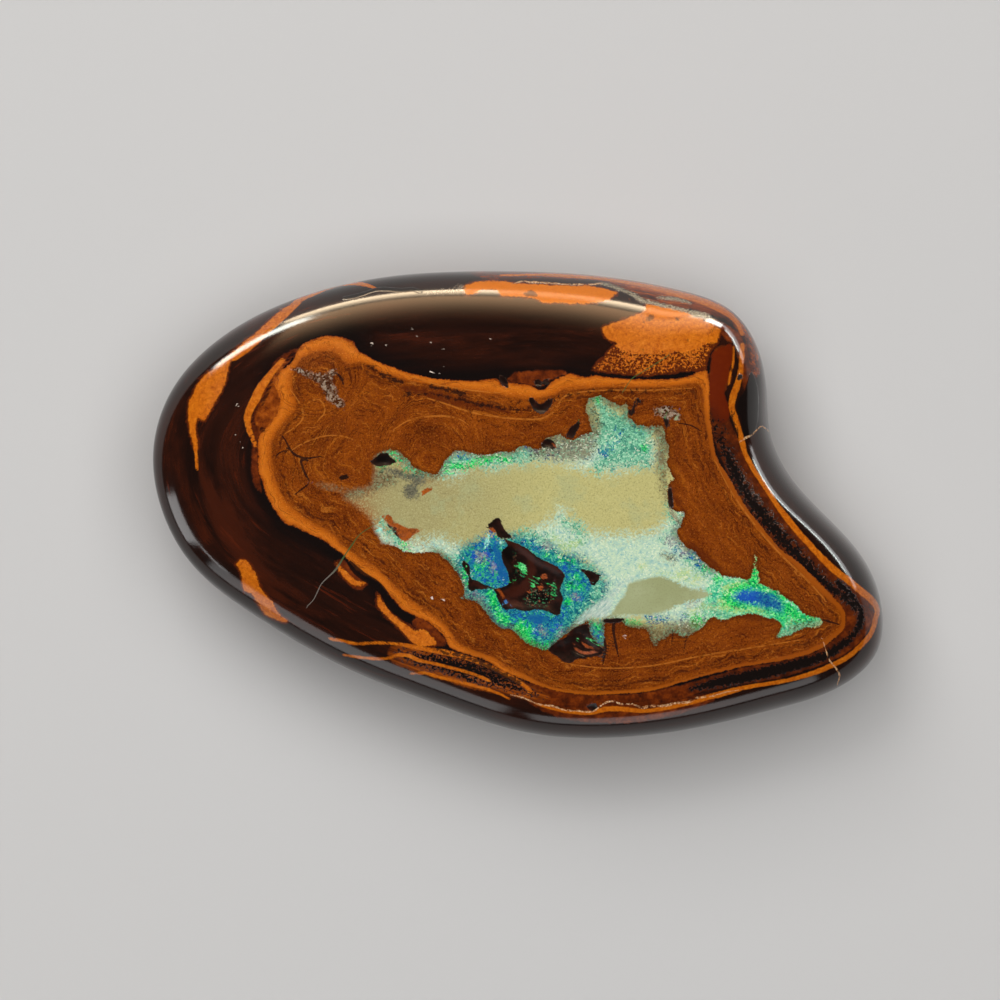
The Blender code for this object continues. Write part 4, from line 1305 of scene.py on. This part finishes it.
# Gaps in the opal where the ironstone shows, dark and slightly sunk, with sparks of opal and grains of
# orange in them, and the small pits that polishing opened.
hollow_shapes = {
    "pit": outline(
        (-14.8, 4.3), (-14.2, 4.7), (-13.5, 5.3), (-13, 5.2), (-12.7, 4.7), (-12.1, 4.4), (-12.4, 4.1),
        (-12.9, 3.9), (-13.5, 3.8), (-14, 3.8), (-14.4, 4),
    ),
    "horn": outline(
        (-3.4, -2.3), (-2.9, -1.9), (-2.1, -1.3), (-1.7, -1.5), (-1.6, -2), (-1.4, -2.4), (-1, -2.8),
        (-0.6, -3.3), (-1.3, -3.4), (-2, -3.3), (-2.2, -2.8), (-2.5, -2.5), (-2.9, -2.4),
    ),
    "gap": outline(
        (-1.3, -3.6), (-0.5, -3.7), (0.4, -4.1), (1.1, -4.5), (1.8, -5.1), (2.6, -5.6), (3.6, -6),
        (4.3, -6.5), (4.7, -7.1), (4.5, -7.7), (4.2, -8.5), (4.5, -9.3), (4.3, -10.1), (4.1, -11.1),
        (3.2, -10.8), (2.4, -10.5), (1.4, -10.5), (0.8, -10.7), (-0.2, -10.4), (-1.3, -10.5),
        (-1.8, -9.9), (-2.2, -9.1), (-2.4, -8.5), (-3.3, -8.4), (-4.1, -8.5), (-4.8, -8.7), (-5, -8),
        (-4.9, -7.3), (-5.4, -6.4), (-5.6, -5.9), (-5.3, -5.5), (-4.8, -6.3), (-4.7, -7.3), (-4.1, -7.6),
        (-3, -8.1), (-2.1, -8.4), (-1.3, -8.1), (-0.9, -7.7), (-1, -6.8), (-1.6, -5.5), (-1.6, -4.5),
        (-1, -4.2),
    ),
    "wedge": outline(
        (6.1, -6.4), (7, -6.6), (8.3, -7), (7.9, -7.7), (7.3, -8.3), (7.1, -7.6), (6.6, -6.9),
    ),
    "lower_pit": outline(
        (7, -11.5), (6.6, -11.9), (5.4, -12.4), (4.9, -13.1), (4.1, -13.5), (3.2, -14.2), (3, -14.7),
        (3.8, -15.1), (4.7, -15.8), (5.3, -15.8), (5.9, -15.4), (6.6, -15.3), (7.4, -15.2), (8.2, -14.9),
        (8.3, -14.3), (7.8, -13.8), (7.4, -13.2), (7.1, -12.5), (7.1, -11.9),
    ),
    "crescent": outline(
        (1, 10.5), (1.3, 10.8), (1.7, 10.4), (2, 10.1), (2.5, 10), (2.9, 10.5), (3.4, 10.7), (3.4, 10),
        (3, 9.4), (2.3, 9), (1.6, 9.4), (1.2, 10),
    ),
    "chain": outline(
        (4.8, 6.7), (4.9, 7.2), (5.3, 7.7), (6.1, 8.4), (6.3, 8), (5.9, 7.4), (5.6, 6.7), (5.2, 6.6),
    ),
    "chain_end": outline(
        (2.2, 5.7), (2.4, 6.2), (2.7, 6.5), (3.3, 6.5), (3.8, 5.9), (3.5, 5.4), (3.2, 5.7), (2.8, 5.7),
    ),
    "small_pits": spots(
        (11.3, 9.2, 0.7), (11.9, 10.3, 0.7), (13.2, 9.7, 0.3), (11.5, 9.7, 0.4), (7.5, -20.2, 0.9),
        (7, -20.2, 0.5), (-1.2, 12.1, 0.5), (2, 12.1, 0.8), (2.8, 12.2, 0.7), (7.1, 7.7, 0.3),
    ),
    "top_notch": outline((-2, 12.7), (-1.6, 12.9), (-1.1, 12.4), (-1, 11.6), (-1.5, 11.7)),
}
deep_names = ("pit", "horn", "gap", "wedge", "lower_pit")
deep_sunk = np.max([hollow_shapes[name] for name in deep_names], axis=0)
small_names = [name for name in hollow_shapes if name not in deep_names]
small_sunk = np.max([hollow_shapes[name] for name in small_names], axis=0)
mark(
    "hollow",
    *hollow_shapes.values(),
    stroke((15.1, 1.5, 0.4), (15.2, 0.5, 0.5), (15.3, -0.3, 0.4)),
    stroke((8.5, -11.6, 0.4), (9.4, -11.6, 0.5), (10.4, -11.5, 0.4)),
    stroke((14.7, 8.7, 0.5), (14.9, 7.9, 0.5)),
    outline((21.9, 12.9), (22.3, 13), (22.3, 12.5), (21.9, 12.4)),
    stroke((-12.9, -2, 0.3), (-12.3, -2.5, 0.5), (-11.9, -3.3, 0.3)),
    stroke((8.6, -14.1, 0.3), (8.6, -15, 0.4), (8.4, -15.7, 0.3)),
)
hollow_colour = shade(noise(here, 1.4, 3.0, 0.6), (0.35, 16, 5, 2), (0.55, 30, 9, 4), (0.7, 52, 18, 6))
in_hollow = rise(frayed("hollow", 0.16, 0.10), -0.04, 0.06)
colour = over(colour, hollow_colour, in_hollow)

# Inside the hollows: red-brown walls, drawn lighter as a painted highlight where they would catch the
# light, and near-black sockets, painted shade of the deeper pockets.
mark(
    "wall",
    stroke(
        (-1.2, -3.7, 0.3), (-0.2, -4.1, 0.6), (0.8, -4.8, 0.8), (1.3, -5.6, 0.9), (1.3, -6.7, 0.9),
        (0.9, -7.9, 1), (0.2, -8.5, 1.2), (-0.8, -8.7, 1), (-1.8, -9.1, 0.4),
    ),
    stroke((2.6, -5.8, 0.4), (3.7, -6.3, 0.5), (4.3, -6.9, 0.4)),
    stroke((-1.8, -8.7, 0.4), (-1, -9.7, 0.8), (0, -9.9, 0.8)),
    stroke((-4.4, -7.9, 0.5), (-3.4, -8.3, 0.4)),
)
# Painted highlight: the walls of the hollows are drawn a lighter red-brown, as if lit.
colour = over(colour, (58, 17, 2), rise(depth_of("wall") + sway * 0.9, -0.15, 0.25) * in_hollow * 0.9)
mark(
    "socket",
    spots(
        (-0.8, -5, 1.3), (-1.2, -4.6, 0.7), (-0.2, -6.9, 1), (-0.6, -7.1, 0.7), (2.2, -9.3, 1.8),
        (1.2, -9.5, 0.9), (3.5, -8.3, 0.6), (-13.5, 4.5, 1), (-14, 4.3, 0.6), (-12.7, 4.5, 0.6),
    ),
)
# Painted shade: the deeper pockets of the hollows are drawn near black, where shade would fall.
colour = over(colour, (10, 3, 2), rise(depth_of("socket") + sway * 0.5, -0.1, 0.15) * in_hollow)

# A grey cloud in the potch on the left, and orange grains and arcs, some of them with a dark core.
mark(
    "cloud",
    outline(
        (-10.5, 3), (-9.8, 3.1), (-9.1, 2.4), (-9.1, 1.9), (-9.7, 2.1), (-9.9, 1.5), (-9.9, 0.8),
        (-10.4, 0.6), (-11.1, 0.7), (-11.6, 1.3), (-11.3, 1.8), (-10.6, 2.1),
    ),
    stroke((-13.4, 3.5, 0.5), (-11.8, 3.1, 0.7), (-10.6, 2.7, 0.7)),
)
cloud_stops = (0.24, 44, 50, 52), (0.5, 84, 84, 76), (0.7, 110, 104, 86), (0.85, 70, 130, 110)
colour = over(colour, shade(fire, *cloud_stops), sparked("cloud", 0.35, -0.25, 0.3) * 0.85)
mark(
    "ember",
    outline(
        (-13.6, -1.2), (-13.3, -1), (-12.7, -1.1), (-12.4, -1.6), (-11.8, -2), (-11, -2.3), (-10.3, -2.4),
        (-9.4, -2.5), (-10.3, -2.9), (-10.7, -3.4), (-11.4, -3.7), (-11.9, -3.3), (-12.2, -2.6),
        (-12.7, -2.1), (-13.2, -1.7),
    ),
    outline((-9.7, 1.2), (-9.4, 1.5), (-8.7, 1.8), (-8.5, 1.6), (-8.9, 1.2), (-9.5, 0.9)),
    stroke((6.4, -13.5, 0.2), (6.7, -14.1, 0.26), (7.4, -14.3, 0.22)),
    stroke(
        (5.4, -13.6, 0.15), (5.7, -14.3, 0.24), (6.4, -14.8, 0.26), (7.4, -14.8, 0.24),
        (8.1, -14.5, 0.15),
    ),
    spots((6.5, -13.1, 0.3), (6.1, -12.7, 0.2)),
    spots(
        (2.6, -7.2, 0.7), (2.3, -8.1, 0.5), (2, -8.3, 0.4), (1.1, -8.7, 0.5), (2.3, -8.5, 0.4),
        (-2.7, -2.5, 0.5), (-2.3, -2.7, 0.4), (-1.7, -8.9, 0.3), (3.8, 5.8, 0.3), (3.4, 6, 0.2),
        (-0.6, 10.7, 0.2), (2.2, 10.4, 0.3),
    ),
    stroke((-2, -8.5, 0.3), (-1.5, -9, 0.3), (-1.4, -9.5, 0.2)),
)
ember_colour = shade(ochre_grain, (0.35, 112, 42, 2), (0.6, 172, 78, 8))
colour = over(colour, ember_colour, rise(frayed("ember", 0.14, 0.12), -0.06, 0.08) * 0.95)
ember_core = rise(frayed("hollow", 0.1, 0.1), 0.0, 0.1) * rise(depth_of("ember"), -0.1, 0.2)
colour = over(colour, (12, 5, 3), ember_core * rise(x_here, -8.0, -10.0))

# Green glints, azure points and mixed crumbs of opal, on the walls and in the sockets.
mark(
    "glint",
    outline(
        (-0.2, -6), (0.3, -5.8), (0.8, -6), (0.9, -6.8), (0.7, -7.2), (0.2, -7.3), (0.4, -6.8),
        (0.2, -6.4), (-0.2, -6.3),
    ),
    stroke((-0.9, -7.7, 0.2), (-0.4, -7.6, 0.3), (0, -7.3, 0.2)),
    stroke((1.3, -8.3, 0.3), (1.4, -7.7, 0.3), (1.8, -7.3, 0.3), (2.2, -7.5, 0.2)),
    stroke((3.5, -7.8, 0.3), (3.7, -8.4, 0.4), (3.7, -9.1, 0.4), (3.3, -9.5, 0.2)),
    spots(
        (1.9, -7.8, 0.3), (1.6, -8.1, 0.3), (2.9, -7.9, 0.3), (3.2, -8.7, 0.2), (-0.7, -6.1, 0.2),
        (0, -5.5, 0.15), (-5.3, -6.6, 0.3), (-5.2, -6.1, 0.2),
    ),
    spots(
        (7.4, -13.5, 0.4), (7.5, -14, 0.3), (8.3, -13.2, 0.4), (8.2, -14, 0.3), (5.9, -13.3, 0.3),
        (6, -13.6, 0.2), (6.8, -13.2, 0.3), (14.2, 9.3, 0.5), (15, 9.1, 0.4), (15.8, 8.6, 0.5),
        (16, 9.4, 0.3), (14.6, 8.6, 0.2), (6, 8.3, 0.3), (11.4, 9.8, 0.2), (-12.3, 5.2, 0.4),
        (-13.3, 3.5, 0.4),
    ),
)
glint_colour = shade(fire, (0.26, 8, 96, 70), (0.5, 24, 190, 84), (0.78, 130, 236, 150))
colour = over(colour, glint_colour, rise(frayed("glint", 0.16, 0.14), -0.05, 0.08))
mark(
    "azure",
    spots(
        (3.7, -7.4, 0.3), (-1.2, -9.7, 0.5), (-1.5, -10, 0.3), (-21.1, 3.1, 0.3), (-21.6, 4, 0.2),
        (-20.7, 2.2, 0.4), (-13.1, 3.7, 0.3), (-0.6, -10.1, 0.2), (16.1, 9.5, 0.3), (2.7, -8.5, 0.2),
    ),
)
azure_colour = shade(fire, (0.3, 20, 80, 160), (0.7, 90, 180, 220))
colour = over(colour, azure_colour, rise(frayed("azure", 0.1, 0.1), -0.05, 0.1) * 0.9)
eyelet = rise(depth_of("socket"), -0.4, 0.1) * rise(depth_of("hollow"), 0.1, 0.4) * rise(x_here, -1.0, 1.0)
crumb_stops = (0.2, 40, 30, 24), (0.45, 20, 120, 70), (0.7, 96, 90, 70), (0.9, 150, 74, 30)
colour = over(colour, shade(spark_blue, *crumb_stops), rise(spark_green, 0.66, 0.76) * eyelet * 0.8)

# Cracks. Some are open and dark, some are healed with pale or greenish stone, and one is a row of
# crystals along the top edge.
mark(
    "crack",
    stroke(
        (-17.4, 20.6, 0.2), (-16.3, 20.8, 0.3), (-15, 21.2, 0.2), (-14.1, 21.5, 0.3), (-12.8, 21.5, 0.3),
        (-11.5, 21.4, 0.3), (-10.5, 21.5, 0.3), (-9.7, 21.2, 0.2),
    ),
    stroke((1.7, 11.7, 0.15), (2.9, 12.2, 0.15), (4.6, 12.9, 0.15)),
    stroke((-17.8, 2.6, 0.3), (-17, 2.8, 0.4)),
    stroke(
        (-16.8, -5.8, 0.4), (-16.1, -6.6, 0.7), (-15.2, -7.3, 0.7), (-14.2, -7.9, 0.7),
        (-13.3, -8.9, 0.7), (-12.7, -10.1, 0.7), (-11.8, -10.8, 0.7), (-11, -11.3, 0.8),
        (-10.4, -11.2, 0.4),
    ),
    stroke((6, -13.8, 0.1), (5.4, -14.5, 0.2), (5.9, -15.1, 0.25), (6.8, -15.3, 0.15)),
    outline(
        (22.1, 10.6), (22.6, 11.2), (22.9, 12.1), (23.3, 13.2), (23.9, 11.5), (23.9, 8.5), (23.4, 7.1),
        (22.6, 6.9), (22.3, 8.7), (21.9, 9.3),
    ) * 0.9,
)
hairlines(
    "thin_crack",
    (
        (-23.5, 6.8, 0.1), (-23.2, 6.4, 0.15), (-22.9, 5.8, 0.2), (-22.5, 5.2, 0.25), (-21.9, 4.8, 0.25),
        (-21.1, 4.6, 0.2), (-20.3, 4.7, 0.15), (-19.6, 4.8, 0.1),
    ),
    ((-21.7, 4.4, 0.25), (-21.5, 3.8, 0.25), (-21.3, 3.2, 0.25), (-21, 2.7, 0.2), (-20.8, 2.3, 0.15)),
    ((-23.4, 5.4, 0.1), (-23.7, 5.2, 0.15), (-24.1, 4.9, 0.1)),
    ((-21, 1.9, 0.15), (-21.6, 1.5, 0.15), (-22.2, 1, 0.1)),
    ((9.6, -11.7, 0.3), (9.5, -12.4, 0.3), (9.6, -13.2, 0.25), (9.8, -14.1, 0.25), (10, -15, 0.1)),
    ((8.6, -13.5, 0.2), (8.7, -14.3, 0.3), (8.6, -15.1, 0.25), (8.5, -15.8, 0.1)),
    ((15.4, -12.5, 0.1), (15.4, -13.1, 0.15), (15.3, -13.8, 0.1)),
    ((16.9, -13.1, 0.1), (16.7, -13.7, 0.15), (16.6, -14.4, 0.1)),
    ((-18.2, 13.1, 0.15), (-17.8, 12.8, 0.25), (-17.5, 12.4, 0.25), (-17.4, 11.9, 0.1)),
    ((30.4, -11.5, 0.1), (31.1, -11.7, 0.2), (31.9, -11.9, 0.1)),
    ((16, 8.1, 0.1), (17.2, 7.9, 0.15), (18.1, 7.4, 0.1)),
)
crack = rise(depth_of("crack") + sway * 0.12 + 0.05, -0.05, 0.05)
colour = over(colour, (18, 10, 8), crack * 0.92)
colour = over(colour, (26, 16, 12), hairline("thin_crack") * 0.85)
mark(
    "dashes",
    stroke((-15.1, 13.9, 0.3), (-13.8, 13.2, 0.4), (-12.6, 12.5, 0.4), (-11.6, 12.2, 0.3)),
    stroke((-8.8, 11.8, 0.3), (-7.3, 11.5, 0.4), (-5.8, 11.1, 0.4), (-5, 11, 0.2)),
    stroke(
        (-11.3, 11, 0.15), (-8.8, 11, 0.2), (-6.8, 10.7, 0.2), (-4.8, 10.2, 0.3), (-2.8, 9.8, 0.3),
        (-0.8, 9.5, 0.3), (1.2, 9.4, 0.2),
    ),
    stroke(
        (3.5, 10, 0.2), (4.2, 10.8, 0.2), (6.2, 11.1, 0.15), (8.2, 11.3, 0.15), (13.5, 11.3, 0.15),
        (17.2, 11.5, 0.1),
    ),
    stroke(
        (-8.3, -14.5, 0.3), (-6.3, -14.9, 0.4), (-4.3, -15.5, 0.4), (-1.8, -16.8, 0.4), (0.2, -17.9, 0.4),
    ),
    stroke((21.9, 6.9, 0.3), (21.5, 8.1, 0.2), (21.3, 9.5, 0.2)),
)
dashes = rise(depth_of("dashes") + (noise(here, 2.4, 3.0, 0.7) - 0.5) * 1.3, -0.1, 0.1)
colour = over(colour, (34, 17, 9), dashes * 0.85)
hairlines(
    "healed",
    (
        (-14.6, -2.2, 0.08), (-15.8, -3, 0.1), (-16.6, -4.1, 0.14), (-17.3, -5.1, 0.15),
        (-18.1, -6.4, 0.17), (-18.9, -7.2, 0.12), (-19.6, -7.9, 0.1), (-20, -8.7, 0.1),
        (-20.4, -9.5, 0.09), (-21, -10.1, 0.08),
    ),
    (
        (10.5, 11.3, 0.08), (11.3, 12.5, 0.08), (12.2, 13.1, 0.08), (13.5, 13.9, 0.08),
        (14.6, 14.6, 0.08), (15, 14.9, 0.08),
    ),
)
healed_colour = over((120, 112, 104), (62, 92, 44), rise(x_here, -19.0, -17.0))
colour = over(colour, healed_colour, hairline("healed") * 0.85)

# Pale seams, which are cracks filled with quartz, and thin beaded ones along the lower right rim.
mark(
    "seam",
    stroke((15.1, -0.4, 0.3), (15.6, -1.2, 0.4), (16.1, -1.9, 0.2)),
    stroke(
        (8.2, 22.1, 0.21), (9.2, 21.9, 0.28), (10.2, 21.5, 0.28), (11.3, 21.1, 0.28), (11.9, 20.7, 0.35),
        (12.6, 20.3, 0.35), (13.3, 20.2, 0.28), (14.3, 19.9, 0.28), (15.3, 19.7, 0.28),
        (16.4, 19.4, 0.28), (17.2, 19.2, 0.35), (18.2, 19, 0.42), (19, 18.8, 0.35),
    ),
    stroke((13.9, 20.7, 0.14), (15, 20.6, 0.28), (16.2, 20.4, 0.28), (17.2, 20.1, 0.14)),
)
seam_stops = (0.36, 70, 58, 44), (0.48, 142, 124, 98), (0.58, 206, 190, 156), (0.7, 140, 168, 140)
seam = rise(depth_of("seam") + grit * 0.8, -0.10, 0.08)
colour = over(colour, shade(dust, *seam_stops), seam * 0.85)
hairlines(
    "thin_seam",
    (
        (22.3, 6.4, 0.2), (22.8, 6.7, 0.2), (23.4, 7, 0.15), (23.9, 7.5, 0.15), (24.3, 7.8, 0.15),
        (24.9, 7.5, 0.15), (25.3, 7.1, 0.1),
    ),
    (
        (30.4, -13.5, 0.08), (30.7, -14.5, 0.1), (31.1, -15.6, 0.15), (31.7, -16.3, 0.2),
        (32.1, -17.1, 0.15), (31.9, -17.9, 0.1),
    ),
    (
        (-0.5, -19, 0.1), (0.6, -19.3, 0.15), (1.9, -19.9, 0.15), (3.5, -20.1, 0.2), (4.6, -20.5, 0.15),
        (6.2, -20.6, 0.15), (7.3, -20.7, 0.15), (8, -20.3, 0.15), (8.6, -19.8, 0.15), (9.6, -19.6, 0.15),
        (10.1, -19.9, 0.2), (11.5, -19.9, 0.15), (12.3, -20.3, 0.2), (13.1, -20.1, 0.25),
        (14.6, -20.1, 0.25), (15.7, -19.8, 0.2), (17, -19.7, 0.25), (17.8, -19.3, 0.25),
        (19.4, -19.1, 0.2), (20.8, -18.7, 0.15), (22.2, -18.5, 0.1),
    ),
    (
        (-0.4, 22.1, 0.1), (0.4, 22.3, 0.2), (1.4, 22.2, 0.2), (2.3, 22.2, 0.15), (3.3, 22.1, 0.2),
        (4.7, 22, 0.15), (6.1, 22, 0.2), (7.2, 22, 0.15), (8.2, 22.1, 0.2),
    ),
)
thin_seam = hairline("thin_seam", 1.5) * rise(noise(here, 2.2, 3.0, 0.7), 0.36, 0.54)
thin_seam_colour = shade(dust, (0.38, 120, 66, 30), (0.5, 214, 150, 96), (0.62, 240, 214, 170))
colour = over(colour, thin_seam_colour, thin_seam * 0.9)

# Clusters of tiny grey crystals in the heart and at the ends of the top crack, and pale flecks.
mark(
    "crystals",
    stroke((-9.3, 21, 0.1), (-8.2, 21.2, 0.2), (-7.1, 21.3, 0.4), (-6.2, 21.5, 0.7), (-5.6, 21.6, 0.7)),
    spots((-24.2, 19.4, 0.4), (-23.7, 19.6, 0.3), (-21.9, 20.2, 0.5), (-21.4, 20.4, 0.3)) - 0.15,
    stroke(
        (-22.3, 13.5, 0.2), (-21.5, 13.2, 0.3), (-20.7, 12.9, 0.5), (-19.8, 12.6, 0.7),
        (-19.1, 12.6, 0.7), (-18.4, 13.2, 0.4),
    ) + 0.1,
    stroke(
        (-19.6, 12.5, 0.8), (-19, 11.7, 1), (-18.5, 10.9, 1), (-18, 10.2, 0.8), (-17.5, 9.8, 0.5),
    ) + 0.1,
    stroke((13.7, 9.3, 0.8), (15, 9.2, 1.2), (16, 8.6, 0.5)),
)
crystals = rise(depth_of("crystals") + sway * 1.0, -0.15, 0.2)
crystal_colour = shade(cells(here, 5.0)[0], (0.2, 44, 26, 18), (0.5, 98, 74, 56), (0.85, 168, 152, 130))
colour = over(colour, crystal_colour, crystals * 0.8)
mark(
    "fleck",
    spots(
        (-10.6, 17.5, 0.34), (-10.1, 16.7, 0.32), (-8.7, 16.1, 0.34), (-13.1, 15.9, 0.34),
        (-14.6, 16, 0.4), (-2.7, 16.5, 0.32), (-7.5, 15.5, 0.32), (-8.6, 14.9, 0.3), (-7.5, 13.8, 0.3),
        (-8.7, 13.2, 0.3), (-7.9, 13, 0.3), (-28, 9.9, 0.4), (-28.1, 6.9, 0.3), (-27.8, 6.2, 0.32),
        (-27.4, 5.7, 0.3), (-8.6, -9.3, 0.4), (-7.8, -9.5, 0.3), (-7.4, -9.5, 0.3), (-12.9, -7.3, 0.3),
        (10.7, -13.2, 0.4), (10.5, -13, 0.3),
    ),
)
colour = over(colour, (232, 214, 196), rise(depth_of("fleck") + grit * 0.15, -0.03, 0.06))

# The mesh is made here, with the hollows sunk into it, and takes the marks as numbers on its points.
HOLLOW_DEPTH = 0.45
HOLLOW_SLOPE = 0.9
SMALL_DEPTH = 0.35
SMALL_SLOPE = 0.4
sink = HOLLOW_DEPTH * np.clip(deep_sunk / HOLLOW_SLOPE, 0, 1)
sink = sink + SMALL_DEPTH * np.clip(small_sunk / SMALL_SLOPE, 0, 1)
points[:, 2] -= np.where(points[:, 2] > SHOULDER_HEIGHT / 2, sink, 0)
stone_mesh = bpy.data.meshes.new("boulder_opal_polished")
stone_mesh.from_pydata(points * MM, [], faces)
stone_mesh.validate()
for name, depth in marks.items():
    layer = stone_mesh.attributes.new(name, "FLOAT", "POINT")
    layer.data.foreach_set("value", depth.astype(np.float32))
stone_mesh.shade_smooth()
stone = bpy.data.objects.new("boulder_opal_polished", stone_mesh)
bpy.context.scene.collection.objects.link(stone)
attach(stone, "root")
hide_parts("boulder_opal")

# The polish. Ironstone and opal take nearly the same gloss, and the hollows and the ochre stay duller.
# The black grains, seams and cracks lie a hair below the rest. The brightest ochre, along the upper
# edge, is porous and mostly matt.
in_patch = rise(patch, 0.0, 0.2)
roughness = 0.09 + rise(ragged, 0.45, 0.75) * 0.05 + in_hollow * 0.25 + in_patch * 0.05
height = in_hollow * -0.10 + crack * -0.05 + grain * 0.006 + strip * -0.02 + seam * -0.02
bump = Value.node("ShaderNodeBump", {}, {"Strength": 0.5, "Distance": MM, "Height": height}, "Normal")
polished = material.node_tree.nodes["Principled BSDF"]
feed(polished, {"Base Color": colour, "Roughness": roughness, "Normal": bump, "IOR": 1.5})
matt_inputs = {"Base Color": colour, "Roughness": 0.6, "Normal": bump, "Specular IOR Level": 0.1}
matt = Value.node("ShaderNodeBsdfPrincipled", {}, matt_inputs)
matt_share = in_patch * rise(depth_of("bright_ochre"), -0.5, 0.1) * 0.75
finish = Value.node("ShaderNodeMixShader", {}, {0: matt_share, 1: Value(polished.outputs[0]), 2: matt})
feed(material.node_tree.nodes["Material Output"], {"Surface": finish})
stone_mesh.materials.append(material)

# The table under the stone, plain and pale.
FLOOR_SIZE = 6.0
half = FLOOR_SIZE / 2
corners = [(-half, -half, 0), (half, -half, 0), (half, half, 0), (-half, half, 0)]
floor_mesh = bpy.data.meshes.new("floor")
floor_mesh.from_pydata(corners, [], [(0, 1, 2, 3)])
floor = bpy.data.objects.new("floor", floor_mesh)
bpy.context.scene.collection.objects.link(floor)
floor_material = bpy.data.materials.new("pale_floor")
floor_material.use_nodes = True
floor_shader = floor_material.node_tree.nodes["Principled BSDF"]
feed(floor_shader, {"Base Color": (0.62, 0.61, 0.60, 1.0), "Roughness": 0.9})
floor_mesh.materials.append(floor_material)

# Studio light. Broad soft panels light the stone evenly, and narrow strips beside it draw the bright
# lines along its shoulders. Each is aimed at the middle of the stone.
STONE_MIDDLE = 0.01
WHITE = (1.0, 1.0, 1.0)
WARM = (1.0, 0.78, 0.52)
AMBER = (1.0, 0.62, 0.34)
CREAM = (1.0, 0.97, 0.88)


def soft_box(name, azimuth, elevation, size, power, lights, tint=WHITE, fading=False, distance=0.60):
    """A panel that lights either the surfaces or only the gloss. A fading one is dark at its top."""
    data = bpy.data.lights.new(name, "AREA")
    data.shape = "RECTANGLE"
    data.size, data.size_y = size
    data.energy = power
    data.color = tint
    lamp = bpy.data.objects.new(name, data)
    around, up = math.radians(azimuth), math.radians(elevation)
    flat = distance * math.cos(up)
    height = distance * math.sin(up) + STONE_MIDDLE
    lamp.location = (flat * math.cos(around), flat * math.sin(around), height)
    aim = -lamp.location.copy()
    aim.z += STONE_MIDDLE
    lamp.rotation_euler = aim.to_track_quat("-Z", "Y").to_euler()
    lamp.visible_camera = False
    lamp.visible_diffuse = lights == "surfaces"
    lamp.visible_glossy = lights == "gloss"
    if fading:
        data.use_nodes = True
        Value.tree = data.node_tree
        fall = rise(parts_of(Value.node("ShaderNodeNewGeometry", {}, {}, "Parametric"))[1], 1.0, 0.0)
        feed(data.node_tree.nodes["Emission"], {"Strength": fall * fall})
    bpy.context.scene.collection.objects.link(lamp)


soft_box("overhead", 90, 86, (1.6, 1.6), 15.5, "surfaces", distance=1.2)
soft_box("upper_left", 118, 48, (0.5, 0.5), 2.2, "surfaces", distance=0.8)
soft_box("upper_left_strip", 122, 12, (0.22, 0.08), 1.3, "gloss", tint=(0.96, 1.0, 0.90))
soft_box("top_panel", 90, 9, (0.56, 0.22), 10.0, "gloss", tint=WARM, fading=True)
soft_box("top_glow", 90, 36, (0.56, 0.50), 5.4, "gloss", tint=AMBER, fading=True)
soft_box("corner_strip", 62, 7, (0.18, 0.10), 1.8, "gloss", tint=CREAM)
soft_box("bottom_strip", 280, 13, (0.40, 0.18), 0.36, "gloss")
soft_box("lower_left_strip", 238, 15, (0.36, 0.24), 0.50, "gloss")
soft_box("right_strip", 35, 9, (0.24, 0.02), 0.50, "gloss", tint=(0.90, 1.0, 0.94))
soft_box("right_panel", 35, 4, (0.40, 0.07), 0.50, "gloss")
soft_box("left_strip", 200, 15, (0.20, 0.24), 0.66, "gloss")
soft_box("left_inner_strip", 218, 26, (0.14, 0.012), 0.05, "gloss")
world = bpy.data.worlds.new("studio")
bpy.context.scene.world = world
world.use_nodes = True
feed(world.node_tree.nodes["Background"], {"Color": (1.0, 1.0, 1.0, 1.0), "Strength": 0.05})
bpy.context.scene.view_settings.view_transform = "Standard"

# The camera looks straight down on the face. Its frame is 100 mm across at the girdle, and the stone
# stands a little right of the middle and below it.
CAMERA_HEIGHT = 2.0
CAMERA_X = -0.0018
CAMERA_Y = 0.00045
GIRDLE_LEVEL = 0.010
FRAME_WIDTH = 0.100
camera_data = bpy.data.cameras.new("camera")
camera_data.sensor_width = 36.0
camera_data.lens = camera_data.sensor_width * (CAMERA_HEIGHT - GIRDLE_LEVEL) / FRAME_WIDTH
camera_data.clip_start, camera_data.clip_end = 0.1, 20.0
camera = bpy.data.objects.new("camera", camera_data)
camera.location = (CAMERA_X, CAMERA_Y, CAMERA_HEIGHT)
bpy.context.scene.collection.objects.link(camera)
bpy.context.scene.camera = camera
